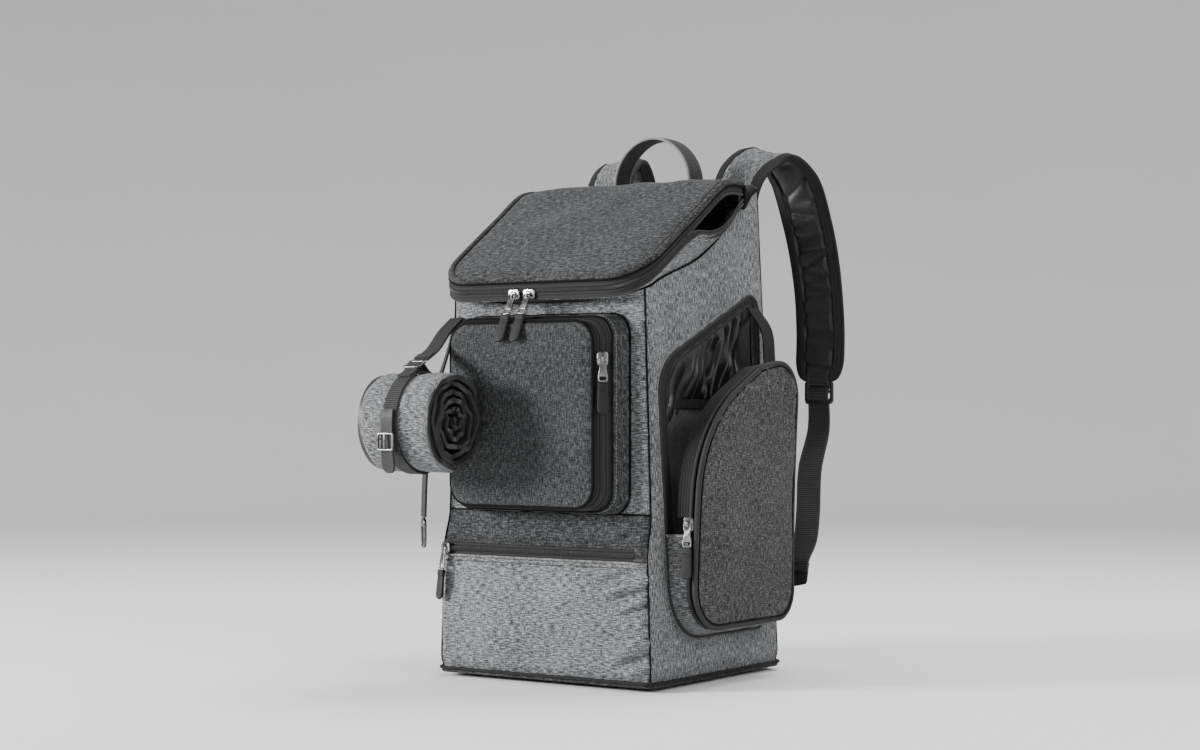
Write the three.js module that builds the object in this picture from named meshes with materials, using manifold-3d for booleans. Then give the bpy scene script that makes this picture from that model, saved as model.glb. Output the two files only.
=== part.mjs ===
// A diaper backpack that stands on four feet: a tall soft body with a sloping zipped lid, a boxy front
// pocket, a lower pocket, an open compartment on its right side, two shoulder straps and a rolled mat.
// Millimetres, +X to the right seen from the front, +Y to the back, +Z up.
import * as THREE from "three";
import { mergeVertices } from "three/addons/utils/BufferGeometryUtils.js";
import Module from "manifold-3d";

const wasm = await Module();
wasm.setup();

// Driving dimensions
const GAP = 0.4;
const SEAM = 1.5;
const CLOTH = 2.4;
const TAPE = 1.6;
const FEET = { height: 4, radius: 9, x: 100, y: 92 };
const BASE = { bottom: 4, top: 8, halfWidth: 130, frontY: -122, backY: 122 };
const BODY = { halfWidth: 118, mouthZ: 380, frontY: -114, backY: 106, backZ: 498, corner: 12, backPad: 7 };
const MOUTH = { y: -116, z: 381, slope: 0.53, frontZ: 373 };
const SAG = { fromY: -110, toY: 100, depth: 16 };
const UNZIPPED = { fromY: -55, toY: 75, drop: 28, outward: 3 };
const LID = { frontY: -134, crestY: 10, backY: 60, corner: 38, backCorner: 6, crown: 5, wall: 3 };
const LID_WIDTHS = { front: 122, crest: 126, back: 121 };
const RIM = { height: 17, backY: 58, steps: 6, facing: 1.12, mouth: [0.88, 0.55], lid: [0.46, 0.06] };
const YOKE = { frontY: 61.5, backY: 96, z: 497, rise: 3, riseFrom: 80, ease: 10, lift: 1 };
const LOWER = { top: 167.5, zipTop: 138, zipBottom: 122, bulge: 6, step: 40 };
const POCKET = { z: 264.5, baseY: -114, beltY: -137, faceY: -148, crown: 5, corner: 20 };
const OPENING = { depth: 44, tape: 10, lining: 1.6, meshTop: 278, meshDepth: 24 };
const DOOR = { standoff: 30, lean: 24, pad: 8, puff: 5, rim: 15 };
const STRAP = { width: 54, thickness: 9, web: 25, webThickness: 2 };
const HANDLE = { width: 26, thickness: 2.6, span: 47, x: 3, y: 83, baseZ: 500.5, peakZ: 552, pinch: 0.12 };
const MAT = { y: -200, z: 257, radius: 49, squash: 0.9, from: -130, to: -45, wall: 7, turns: 4, core: 7 };
const MAT_STRAP = { x: -90, width: 16, inside: 0.8, outside: 2.6 };
const PULL = { length: 22, thickness: 1.6, eyeHalf: 2.5, eyeEnd: 4.6 };
const TAB = { length: 30, width: 11.5, thickness: 3.2 };
const SLIDER = { long: 7, short: 5.4, corner: 3, plate: 2.7, seat: 4.7 };

// Finishes, with the colours that the cloth and the fittings show
const FINISH = {
  light: { color: 0x8d8d90, roughness: 0.95, metalness: 0 },
  dark: { color: 0x37383b, roughness: 0.95, metalness: 0 },
  tape: { color: 0x1d1d1f, roughness: 0.85, metalness: 0 },
  webbing: { color: 0x2c2d30, roughness: 0.85, metalness: 0 },
  lining: { color: 0x101012, roughness: 0.6, metalness: 0 },
  rubber: { color: 0x2a2a2c, roughness: 0.6, metalness: 0 },
  metal: { color: 0xb9bbbf, roughness: 0.3, metalness: 1 },
  plastic: { color: 0x1a1a1c, roughness: 0.5, metalness: 0 },
};

const { lerp, clamp, degToRad, smoothstep } = THREE.MathUtils;
const vec = (x, y, z) => new THREE.Vector3(x, y, z);
const bag = new THREE.Group();

function add(name, geometry, finish, parent = bag) {
  const mesh = new THREE.Mesh(geometry, new THREE.MeshStandardMaterial(FINISH[finish]));
  mesh.name = name;
  parent.add(mesh);
  return mesh;
}

// Evenly spaced values from first to last.
function range(first, last, steps) {
  return Array.from({ length: steps + 1 }, (_, i) => lerp(first, last, i / steps));
}

// A closed geometry from points and triangles, turned so that its faces point out.
function closedGeometry(points, triangles) {
  let volume = 0;
  const cross = vec();
  for (const [a, b, c] of triangles) {
    volume += points[a].dot(cross.crossVectors(points[b], points[c]));
  }
  const faces = volume < 0 ? triangles.map(([a, b, c]) => [a, c, b]) : triangles;
  const geometry = new THREE.BufferGeometry().setFromPoints(points);
  geometry.setIndex(faces.flat());
  geometry.computeVertexNormals();
  return geometry;
}

// A cloth wall: the surface is its outer face, and the thickness lies behind it, along the normal or where
// the inner face says.
function thickSheet(us, vs, surface, { thickness, inner, closed = false }) {
  const columns = us.length;
  const rows = vs.length;
  const outer = us.map((u) => vs.map((v) => surface(u, v)));
  const column = (i) => outer[closed ? (i + columns) % columns : clamp(i, 0, columns - 1)];
  const at = (i, j) => column(i)[clamp(j, 0, rows - 1)];
  const points = outer.flat();
  for (let i = 0; i < columns; i++) {
    for (let j = 0; j < rows; j++) {
      if (inner) {
        points.push(inner(us[i], vs[j]));
        continue;
      }
      const along = at(i + 1, j).clone().sub(at(i - 1, j));
      const across = at(i, j + 1).clone().sub(at(i, j - 1));
      const normal = along.cross(across).normalize();
      points.push(outer[i][j].clone().addScaledVector(normal, -thickness));
    }
  }
  const triangles = [];
  const front = (i, j) => (i % columns) * rows + j;
  const rear = (i, j) => columns * rows + front(i, j);
  const quad = (a, b, c, d) => triangles.push([a, b, c], [a, c, d]);
  const spans = closed ? columns : columns - 1;
  for (let i = 0; i < spans; i++) {
    for (let j = 0; j < rows - 1; j++) {
      quad(front(i, j), front(i + 1, j), front(i + 1, j + 1), front(i, j + 1));
      quad(rear(i, j), rear(i, j + 1), rear(i + 1, j + 1), rear(i + 1, j));
    }
    quad(front(i + 1, 0), front(i, 0), rear(i, 0), rear(i + 1, 0));
    quad(front(i, rows - 1), front(i + 1, rows - 1), rear(i + 1, rows - 1), rear(i, rows - 1));
  }
  for (let j = 0; j < rows - 1 && !closed; j++) {
    const last = columns - 1;
    quad(front(0, j), front(0, j + 1), rear(0, j + 1), rear(0, j));
    quad(front(last, j + 1), front(last, j), rear(last, j), rear(last, j + 1));
  }
  return closedGeometry(points, triangles);
}

// A profile of [across, up] points carried along stations that hold a point, a side and an up direction.
function sweep(stations, profile) {
  const sides = profile.length;
  const points = [];
  for (const { point, side, up, scale = 1 } of stations) {
    for (const [a, b] of profile) {
      points.push(point.clone().addScaledVector(side, a * scale).addScaledVector(up, b * scale));
    }
  }
  const triangles = [];
  for (let s = 0; s < stations.length - 1; s++) {
    for (let k = 0; k < sides; k++) {
      const a = s * sides + k;
      const b = s * sides + ((k + 1) % sides);
      triangles.push([a, b, b + sides], [a, b + sides, a + sides]);
    }
  }
  const end = (stations.length - 1) * sides;
  for (let k = 1; k < sides - 1; k++) {
    triangles.push([0, k + 1, k], [end, end + k, end + k + 1]);
  }
  return closedGeometry(points, triangles);
}

// Stations along a smooth route: each row has a point (x, y, z) and a side direction (sx, sy, sz).
function routeStations(rows, steps, scaleAt = () => 1) {
  const route = new THREE.CatmullRomCurve3(rows.map(({ x, y, z }) => vec(x, y, z)));
  const sides = new THREE.CatmullRomCurve3(rows.map(({ sx, sy, sz }) => vec(sx, sy, sz)));
  return range(0, 1, steps).map((t) => {
    const tangent = route.getTangent(t);
    const side = sides.getPoint(t);
    side.addScaledVector(tangent, -side.dot(tangent)).normalize();
    return { point: route.getPoint(t), side, up: tangent.clone().cross(side), scale: scaleAt(t) };
  });
}

// A flat bar's section with eased edges.
function barProfile(width, thickness) {
  const ease = Math.min(thickness * 0.4, width * 0.2);
  const w = width / 2;
  const t = thickness / 2;
  const quarter = [[w, t - ease], [w - ease, t]];
  const upper = [...quarter, ...quarter.map(([a, b]) => [-a, b]).reverse()];
  return [...upper, ...upper.map(([a, b]) => [-a, -b])];
}

// Corners as rows of { x, y, r }, moved in by an inset and rounded, as points in the same order.
function roundedCorners(corners, { inset = 0, steps = 4, open = false } = {}) {
  const count = corners.length;
  const moved = corners.map((corner, i) => {
    if (!inset) return new THREE.Vector2(corner.x, corner.y);
    const before = corners[(i + count - 1) % count];
    const after = corners[(i + 1) % count];
    const into = new THREE.Vector2(corner.x - before.x, corner.y - before.y).normalize();
    const out = new THREE.Vector2(after.x - corner.x, after.y - corner.y).normalize();
    const turn = into.x * out.y - into.y * out.x;
    const shift = out.clone().sub(into).multiplyScalar(inset / turn);
    return new THREE.Vector2(corner.x, corner.y).add(shift);
  });
  const points = [];
  moved.forEach((corner, i) => {
    const radius = Math.max((corners[i].r ?? 0) - inset, 0);
    const isEnd = open && (i === 0 || i === count - 1);
    if (isEnd || radius === 0) {
      points.push(corner);
      return;
    }
    const toBefore = moved[(i + count - 1) % count].clone().sub(corner).normalize();
    const toAfter = moved[(i + 1) % count].clone().sub(corner).normalize();
    const half = Math.acos(clamp(toBefore.dot(toAfter), -1, 1)) / 2;
    const inward = toBefore.clone().add(toAfter).normalize();
    const centre = inward.multiplyScalar(radius / Math.sin(half)).add(corner);
    const start = toBefore.clone().multiplyScalar(radius / Math.tan(half)).add(corner).sub(centre);
    const sweepAngle = Math.PI - 2 * half;
    const turn = Math.sign(toAfter.x * toBefore.y - toAfter.y * toBefore.x);
    for (const angle of range(0, sweepAngle * turn, steps)) {
      points.push(start.clone().rotateAround(new THREE.Vector2(), angle).add(centre));
    }
  });
  return points;
}

// A rectangle of half sizes w and h with rounded corners.
function roundedRectangle(w, h, r, steps = 3) {
  return roundedCorners([
    { x: -w, y: -h, r },
    { x: w, y: -h, r },
    { x: w, y: h, r },
    { x: -w, y: h, r },
  ], { steps });
}

// The lowest and highest x of a convex outline at a height y.
function spanAt(outline, y) {
  const xs = [];
  outline.forEach((a, i) => {
    const b = outline[(i + 1) % outline.length];
    if ((a.y - y) * (b.y - y) <= 0 && a.y !== b.y) xs.push(lerp(a.x, b.x, (y - a.y) / (b.y - a.y)));
  });
  return [Math.min(...xs), Math.max(...xs)];
}

// A crowned cloth panel inside a convex outline. place(a, b, edge) gives the point, with edge 0 at the rim
// and 1 in the middle.
function crownedPanel(outline, rows, columns, place, thickness) {
  const heights = outline.map((p) => p.y);
  const low = Math.min(...heights) + 0.05;
  const high = Math.max(...heights) - 0.05;
  const vs = range(0, Math.PI, rows).map((angle) => lerp(low, high, (1 - Math.cos(angle)) / 2));
  const us = range(-1, 1, columns);
  const surface = (u, y) => {
    const [left, right] = spanAt(outline, y);
    const v = (2 * (y - low)) / (high - low) - 1;
    const edge = Math.sqrt((1 - u ** 4) * (1 - v ** 4));
    return place(lerp(left, right, (u + 1) / 2), y, edge);
  };
  return thickSheet(us, vs, surface, { thickness });
}

// An outline extruded and stood up: facing front (x, z) it grows towards -Y, facing right (y, z) towards +X
function extruded(points, depth, facing, hole) {
  const shape = new THREE.Shape(points);
  if (hole) shape.holes.push(new THREE.Path(hole));
  const geometry = new THREE.ExtrudeGeometry(shape, { depth, bevelEnabled: false, curveSegments: 8 });
  const turn = new THREE.Matrix4();
  if (facing === "front") turn.makeBasis(vec(1, 0, 0), vec(0, 0, 1), vec(0, -1, 0));
  if (facing === "right") turn.makeBasis(vec(0, 1, 0), vec(0, 0, 1), vec(1, 0, 0));
  return geometry.applyMatrix4(turn);
}

function toSolid(geometry) {
  const bare = geometry.clone();
  bare.deleteAttribute("normal");
  bare.deleteAttribute("uv");
  const merged = mergeVertices(bare, 1e-4);
  const vertProperties = merged.getAttribute("position").array;
  const triVerts = new Uint32Array(merged.index.array);
  return new wasm.Manifold(new wasm.Mesh({ numProp: 3, vertProperties, triVerts }));
}

function toGeometry(solid) {
  const mesh = solid.getMesh();
  const geometry = new THREE.BufferGeometry();
  geometry.setAttribute("position", new THREE.BufferAttribute(mesh.vertProperties, mesh.numProp));
  geometry.setIndex(new THREE.BufferAttribute(mesh.triVerts, 1));
  geometry.computeVertexNormals();
  return geometry;
}

const cut = (geometry, tool) => toGeometry(toSolid(geometry).subtract(toSolid(tool)));
const join = (geometry, other) => toGeometry(toSolid(geometry).add(toSolid(other)));

// Body

function halfWidth(z) {
  return lerp(BASE.halfWidth, BODY.halfWidth, (z - BASE.top) / (BODY.mouthZ - BASE.top));
}

function frontY(z) {
  return lerp(BODY.frontY, BASE.frontY, smoothstep(LOWER.top - z, 0, LOWER.step));
}

function backY(z) {
  return lerp(BASE.backY, BODY.backY, (z - BASE.top) / (BODY.backZ - BASE.top));
}

// A bump that rises from 0 to 1 and back between two places.
const hump = (y, { fromY, toY }) => Math.sin(Math.PI * clamp((y - fromY) / (toY - fromY), 0, 1)) ** 2;

// The height of the seam at the top of the body, which sags on the right, where the lid is unzipped.
function mouthZ(x, y) {
  const slope = MOUTH.z + MOUTH.slope * (y - MOUTH.y);
  const front = lerp(MOUTH.frontZ, slope, smoothstep(Math.abs(x), 40, BODY.halfWidth - 4));
  const seam = y < BODY.frontY + 1 ? front : slope;
  return x > 0 ? seam - SAG.depth * hump(y, SAG) : seam;
}

// Each side runs from the middle of one corner to the middle of the next, anticlockwise from above.
const SIDES = {
  front: { from: [-1, -1], to: [1, -1], facing: 270 },
  right: { from: [1, -1], to: [1, 1], facing: 0 },
  back: { from: [1, 1], to: [-1, 1], facing: 90 },
  left: { from: [-1, 1], to: [-1, -1], facing: 180 },
};
const ROUND = 0.1;
const ACROSS = [0, ROUND / 2, ROUND, 0.25, 0.4, 0.5, 0.6, 0.75, 1 - ROUND, 1 - ROUND / 2, 1];

// A point on the body's outer face: u runs along the side, and the corners take its first and last tenth.
function bodyPoint(side, u, z, bulge = 0, depth = 0) {
  const { from, to, facing } = SIDES[side];
  const r = BODY.corner;
  const centre = ([sx, sy]) => vec(sx * (halfWidth(z) - r), sy < 0 ? frontY(z) + r : backY(z) - r, z);
  const half = degToRad(45) - GAP / r / 2;
  let angle = degToRad(facing);
  const point = centre(from).lerp(centre(to), clamp((u - ROUND) / (1 - 2 * ROUND), 0, 1));
  if (u < ROUND) angle -= half * (1 - u / ROUND);
  if (u > 1 - ROUND) angle += half * (1 - (1 - u) / ROUND);
  const reach = r - depth + bulge * (1 - Math.abs(2 * u - 1) ** 3);
  return point.add(vec(Math.cos(angle) * reach, Math.sin(angle) * reach, 0));
}

// Where the mouth's seam crosses a side, from a few tries because the side leans in as it rises.
function seamZ(side, u) {
  let z = BODY.mouthZ;
  for (let i = 0; i < 6; i++) {
    const { x, y } = bodyPoint(side, u, z);
    z = mouthZ(x, y);
  }
  return z;
}

// A panel of the body, with rows at fixed levels and then at even shares of the way up to its top edge.
function bodyPanel(side, { levels, topAt, rows, bulge = 0, thickness = CLOTH, wave = () => 0 }) {
  const count = levels.length - 1 + rows;
  const last = levels[levels.length - 1];
  const at = (depth) => (u, row) => {
    const v = row / count;
    const z = row < levels.length ? levels[row] : lerp(last, topAt(u), (row - levels.length + 1) / rows);
    return bodyPoint(side, u, z, bulge * Math.sin(Math.PI * v) + wave(u, v), depth);
  };
  return thickSheet(ACROSS, range(0, count, count), at(0), { inner: at(thickness) });
}

function makeBody() {
  const bottom = BASE.top + GAP;
  const rim = (name) => (u) => seamZ(name, u);
  const creases = (u, v) => 1.6 * Math.sin(9 * v + 5 * u) * Math.sin(Math.PI * v);
  const { zipBottom, zipTop, top } = LOWER;
  const step = [zipTop, lerp(zipTop, top, 1 / 3), lerp(zipTop, top, 2 / 3), top];
  const zipMiddle = (zipBottom + zipTop) / 2;
  const sideLevels = [bottom, lerp(bottom, zipBottom, 0.5), zipBottom, zipMiddle, ...step];
  add("front_panel", bodyPanel("front", { levels: [top + GAP], topAt: rim("front"), rows: 4 }), "light");
  const left = { levels: sideLevels, topAt: rim("left"), rows: 6, bulge: 4, wave: creases };
  add("left_panel", bodyPanel("left", left), "light");
  const back = { levels: [bottom], topAt: () => BODY.backZ, rows: 8, bulge: 4, thickness: BODY.backPad };
  add("back_panel", bodyPanel("back", back), "light");
  const band = { levels: [zipTop + GAP, ...step.slice(1)], rows: 0, bulge: LOWER.bulge / 2 };
  const zipLevels = [zipBottom + GAP, zipMiddle, zipTop];
  const zip = { levels: zipLevels, rows: 0, bulge: LOWER.bulge / 3, thickness: TAPE };
  const panel = { levels: [bottom], topAt: () => zipBottom, rows: 8, bulge: LOWER.bulge };
  add("lower_pocket_band", bodyPanel("front", band), "dark");
  add("lower_pocket_zip", bodyPanel("front", zip), "tape");
  add("lower_pocket_panel", bodyPanel("front", panel), "light");
  const right = bodyPanel("right", { levels: sideLevels, topAt: rim("right"), rows: 5 });
  add("right_panel", cut(right, openingCutter()), "light");
  const floor = { r: BODY.corner };
  const corners = [
    { x: -BASE.halfWidth, y: BASE.frontY, ...floor },
    { x: BASE.halfWidth, y: BASE.frontY, ...floor },
    { x: BASE.halfWidth, y: BASE.backY, ...floor },
    { x: -BASE.halfWidth, y: BASE.backY, ...floor },
  ];
  const slab = new THREE.ExtrudeGeometry(new THREE.Shape(roundedCorners(corners)), {
    depth: BASE.top - BASE.bottom,
    bevelEnabled: false,
  });
  add("base_panel", slab.translate(0, 0, BASE.bottom), "dark");
  for (const [sy, row] of [[-1, "front"], [1, "back"]]) {
    for (const [sx, column] of [[-1, "left"], [1, "right"]]) {
      const foot = new THREE.CylinderGeometry(FEET.radius, FEET.radius - 1, FEET.height - GAP, 16);
      foot.rotateX(Math.PI / 2).translate(sx * FEET.x, sy * FEET.y, (FEET.height - GAP) / 2);
      add(`foot_${row}_${column}`, foot, "rubber");
    }
  }
}

// Lid and its zip, along a rim that runs down the left side, across the front and up the right side

// The height of the lid's edge, a row for each place along the side
const LID_EDGE = [
  { y: -134, z: 393 },
  { y: -104, z: 412.5 },
  { y: -64, z: 439 },
  { y: -23, z: 466 },
  { y: 4, z: 484.5 },
  { y: 14, z: 490 },
  { y: 26, z: 493 },
  { y: 60, z: 494.5 },
];

function lidEdge(y) {
  const next = clamp(LID_EDGE.findIndex((row) => row.y >= y), 1, LID_EDGE.length - 1);
  const low = LID_EDGE[next - 1];
  const high = LID_EDGE[next];
  return lerp(low.z, high.z, (y - low.y) / (high.y - low.y));
}

// A line down the left side, round the front corners and up the right side, in a fixed number of points.
function rimLine({ front, crest, back }, y, corner) {
  const corners = [
    { x: -back, y: RIM.backY },
    { x: -crest, y: LID.crestY },
    { x: -front, y, r: corner },
    { x: front, y, r: corner },
    { x: crest, y: LID.crestY },
    { x: back, y: RIM.backY },
  ];
  const { steps } = RIM;
  const pieces = { 0: 3, 1: 6, [steps + 2]: 5, [2 * steps + 3]: 6, [2 * steps + 4]: 3 };
  const line = [];
  roundedCorners(corners, { open: true, steps }).forEach((point, i, points) => {
    const count = pieces[i] ?? 1;
    const next = points[i + 1] ?? point;
    for (let k = 0; k < count; k++) line.push(point.clone().lerp(next, k / count));
  });
  return line;
}

// A strip of cloth between two lines with the same number of points.
function strip(first, second, options) {
  const us = first.map((_, i) => i);
  return thickSheet(us, [0, 1], (i, v) => (v ? second : first)[i].clone(), options);
}

function makeLid() {
  const rim = rimLine(LID_WIDTHS, LID.frontY, LID.corner);
  const sewnAt = (y) => halfWidth(MOUTH.z + MOUTH.slope * (y - MOUTH.y)) - CLOTH / 2;
  const widths = { front: sewnAt(MOUTH.y), crest: sewnAt(LID.crestY), back: sewnAt(RIM.backY) };
  const seam = rimLine(widths, BODY.frontY + CLOTH / 2, BODY.corner - CLOTH / 2);
  const below = (share) => rim.map((p) => vec(p.x, p.y, lidEdge(p.y) - RIM.height * share));
  const opened = (share) => below(share).map((p) => {
    const out = p.x > 0 ? hump(p.y, UNZIPPED) : 0;
    return p.add(vec(UNZIPPED.outward * out, 0, -UNZIPPED.drop * out));
  });
  const sewn = seam.map((p) => vec(p.x, p.y, mouthZ(p.x, p.y) + SEAM));
  const cloth = { thickness: TAPE };
  add("mouth_facing", strip(sewn, opened(RIM.facing), cloth), "light");
  add("mouth_zip", strip(opened(RIM.mouth[0]), opened(RIM.mouth[1]), cloth), "tape");
  add("lid_zip", strip(below(RIM.lid[0]), below(RIM.lid[1]), cloth), "tape");
  const { front, crest, back } = LID_WIDTHS;
  const outline = roundedCorners([
    { x: -front, y: LID.frontY, r: LID.corner },
    { x: front, y: LID.frontY, r: LID.corner },
    { x: crest, y: LID.crestY },
    { x: back, y: LID.backY, r: LID.backCorner },
    { x: -back, y: LID.backY, r: LID.backCorner },
    { x: -crest, y: LID.crestY },
  ], { steps: RIM.steps });
  const place = (x, y, edge) => vec(x, y, lidEdge(y) + GAP + LID.wall + LID.crown * edge);
  add("lid", crownedPanel(outline, 14, 10, place, LID.wall), "dark");
}

// The yoke behind the lid: up from the side panels, over the top and down again
function makeYoke() {
  const topAt = (y) => YOKE.z + YOKE.rise * smoothstep(y, YOKE.riseFrom, YOKE.backY);
  const half = (sign, y) => {
    const low = Math.min(mouthZ(sign, y) + SEAM + YOKE.lift, topAt(y) - 3);
    const top = topAt(y);
    const ease = Math.min(YOKE.ease, top - low);
    const x = halfWidth(low) - CLOTH / 2;
    return [[x, low], [x, top - ease], [x - 0.3 * ease, top - 0.3 * ease], [x - ease, top], [x / 2, top]]
      .map(([across, z]) => vec(sign * across, y, z));
  };
  const section = (y) => [...half(-1, y), vec(0, y, topAt(y)), ...half(1, y).reverse()];
  const columns = range(0, 10, 10);
  const surface = (column, y) => section(y)[column];
  const rows = range(YOKE.frontY, YOKE.backY, 5);
  add("top_yoke", thickSheet(columns, rows, surface, { thickness: CLOTH }), "dark");
  const arch = range(0, Math.PI, 12).map((angle) => ({
    x: HANDLE.x - HANDLE.span * Math.cos(angle) * (1 - HANDLE.pinch * Math.sin(angle)),
    y: HANDLE.y,
    z: HANDLE.baseZ + (HANDLE.peakZ - HANDLE.baseZ) * Math.sin(angle) ** 0.8,
    sx: 0,
    sy: 1,
    sz: 0,
  }));
  add("top_handle", sweep(routeStations(arch, 16), barProfile(HANDLE.width, HANDLE.thickness)), "webbing");
}

// Front pocket: a gusset that stands out from the body, a zip belt that turns inwards, and a crowned face

const POCKET_SECTIONS = {
  base: { y: POCKET.baseY - GAP, halfWidth: 100, halfHeight: 96 },
  belt: { y: POCKET.beltY, halfWidth: 94, halfHeight: 92.5 },
  face: { y: POCKET.faceY, halfWidth: 80, halfHeight: 83 },
};

function pocketLine({ halfWidth: w, halfHeight: h }, inset = 0) {
  const outline = roundedRectangle(w - inset, h - inset, POCKET.corner - inset, 4);
  return outline.map((p) => p.setY(p.y + POCKET.z));
}

function makeFrontPocket() {
  const { base, belt, face } = POCKET_SECTIONS;
  const ring = (section, inset) => pocketLine(section, inset).map((p) => vec(p.x, section.y, p.y));
  const wall = (first, second, inset) => {
    const outer = [ring(first, 0), ring(second, 0)];
    const inner = [ring(first, inset), ring(second, inset)];
    const us = outer[0].map((_, i) => i);
    return thickSheet(us, [0, 1], (i, v) => outer[v][i], { inner: (i, v) => inner[v][i], closed: true });
  };
  add("front_pocket_gusset", wall(base, belt, CLOTH), "dark");
  add("front_pocket_zip", wall({ ...belt, y: belt.y - GAP }, face, 1.4 * TAPE), "tape");
  const place = (x, z, edge) => vec(x, face.y - GAP - CLOTH - POCKET.crown * edge, z);
  add("front_pocket_panel", crownedPanel(pocketLine(face), 10, 10, place, CLOTH), "dark");
}

// Side compartment, in the frame of the right panel: X is the panel's outward normal and Z runs up it

const sideTilt = Math.atan((BASE.halfWidth - BODY.halfWidth) / (BODY.mouthZ - BASE.top));
const side = new THREE.Group();
side.position.set(BASE.halfWidth, 0, BASE.top);
side.rotation.y = -sideTilt;
bag.add(side);

// Corners of the opening and of the door as rows of { x: along the panel to the back, y: up the panel, r }
const OPENING_CORNERS = [
  { x: -86, y: 40, r: 55 },
  { x: 92, y: 40, r: 25 },
  { x: 92, y: 383, r: 14 },
  { x: -98, y: 303, r: 48 },
];
const DOOR_CORNERS = [
  { x: -90, y: 50, r: 42 },
  { x: 95, y: 50, r: 26 },
  { x: 78, y: 309, r: 40 },
  { x: 10, y: 301, r: 60 },
  { x: -92, y: 247, r: 110 },
];
const SLIDER_HEIGHT = 148;

const openingLine = (inset) => roundedCorners(OPENING_CORNERS, { inset, steps: 6 });

function openingCutter() {
  const depth = 30;
  const tool = extruded(openingLine(0), depth, "right").translate(-depth / 2, 0, 0);
  side.updateMatrixWorld(true);
  return tool.applyMatrix4(side.matrixWorld);
}

// How far the door's outer face stands off the panel at a height.
const doorReach = (z) => DOOR.standoff + DOOR.lean * clamp((z - 50) / 255, 0, 1) ** 1.4;

function makeSide() {
  const tape = extruded(openingLine(GAP), TAPE, "right", openingLine(OPENING.tape));
  add("side_opening_zip", tape.translate(-CLOTH, 0, 0), "tape", side);
  const outer = extruded(openingLine(1), OPENING.depth, "right");
  const hollow = extruded(openingLine(1 + OPENING.lining), OPENING.depth, "right");
  const cup = cut(outer, hollow.translate(OPENING.lining, 0, 0)).translate(-CLOTH - GAP - OPENING.depth, 0, 0);
  add("side_lining", cup, "lining", side);
  const inset = 1 + OPENING.lining + GAP;
  const meshCorners = [
    { x: -86 + inset, y: 40 + inset, r: 52 },
    { x: 92 - inset, y: 40 + inset, r: 22 },
    { x: 92 - inset, y: OPENING.meshTop - BASE.top, r: 4 },
    { x: -96 + inset, y: OPENING.meshTop - BASE.top, r: 4 },
  ];
  const net = extruded(roundedCorners(meshCorners, { steps: 5 }), 1.2, "right");
  add("side_mesh_pocket", net.translate(-OPENING.meshDepth, 0, 0), "lining", side);

  const bottomRun = (corners, shift) => [
    { x: corners[0].x - 4 - shift, y: SLIDER_HEIGHT - 8 },
    { ...corners[0], x: corners[0].x - shift },
    { ...corners[1], x: corners[1].x + shift },
    { x: corners[1].x - 3 + shift, y: 232 },
  ];
  const run = (corners, shift) => roundedCorners(bottomRun(corners, shift), { open: true, steps: 6 });
  const foot = run(OPENING_CORNERS, 2).map((p) => vec(3 * GAP, p.x, p.y));
  const shoulder = run(DOOR_CORNERS, -2).map((p) => vec(doorReach(p.y) - DOOR.pad - 3 * GAP, p.x, p.y));
  add("side_gusset", strip(foot, shoulder, { thickness: CLOTH }), "light", side);

  const face = roundedCorners(DOOR_CORNERS, { steps: 6 });
  const place = (y, z, edge) => vec(doorReach(z) + DOOR.puff * edge, y, z);
  add("side_door", crownedPanel(face, 12, 10, place, DOOR.pad), "dark", side);

  const rimCorners = [
    { x: 84, y: 240 },
    { ...DOOR_CORNERS[2], x: DOOR_CORNERS[2].x - 1 },
    DOOR_CORNERS[3],
    { ...DOOR_CORNERS[4], x: DOOR_CORNERS[4].x + 1 },
    { x: DOOR_CORNERS[4].x + 2, y: SLIDER_HEIGHT + 10 },
  ];
  const rim = roundedCorners(rimCorners, { open: true, steps: 6 });
  const rimAt = (depth) => rim.map((p) => vec(doorReach(p.y) - DOOR.pad - GAP - depth, p.x, p.y));
  add("side_door_zip", strip(rimAt(DOOR.rim), rimAt(0), { thickness: TAPE }), "tape", side);

  const stay = [
    { x: 0.6, y: 81, z: 364, sx: 0, sy: 1, sz: 0.2 },
    { x: 16, y: 82, z: 340, sx: 0.1, sy: 1, sz: 0.3 },
    { x: 22, y: 76, z: 312, sx: 0.2, sy: 1, sz: 0.1 },
    { x: 24, y: 73, z: 302, sx: 0.2, sy: 1, sz: 0 },
  ];
  add("side_stay", sweep(routeStations(stay, 8), barProfile(14, TAPE)), "lining", side);
}

// Shoulder straps: the route of each strap as rows of a point and the direction of its width

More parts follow.
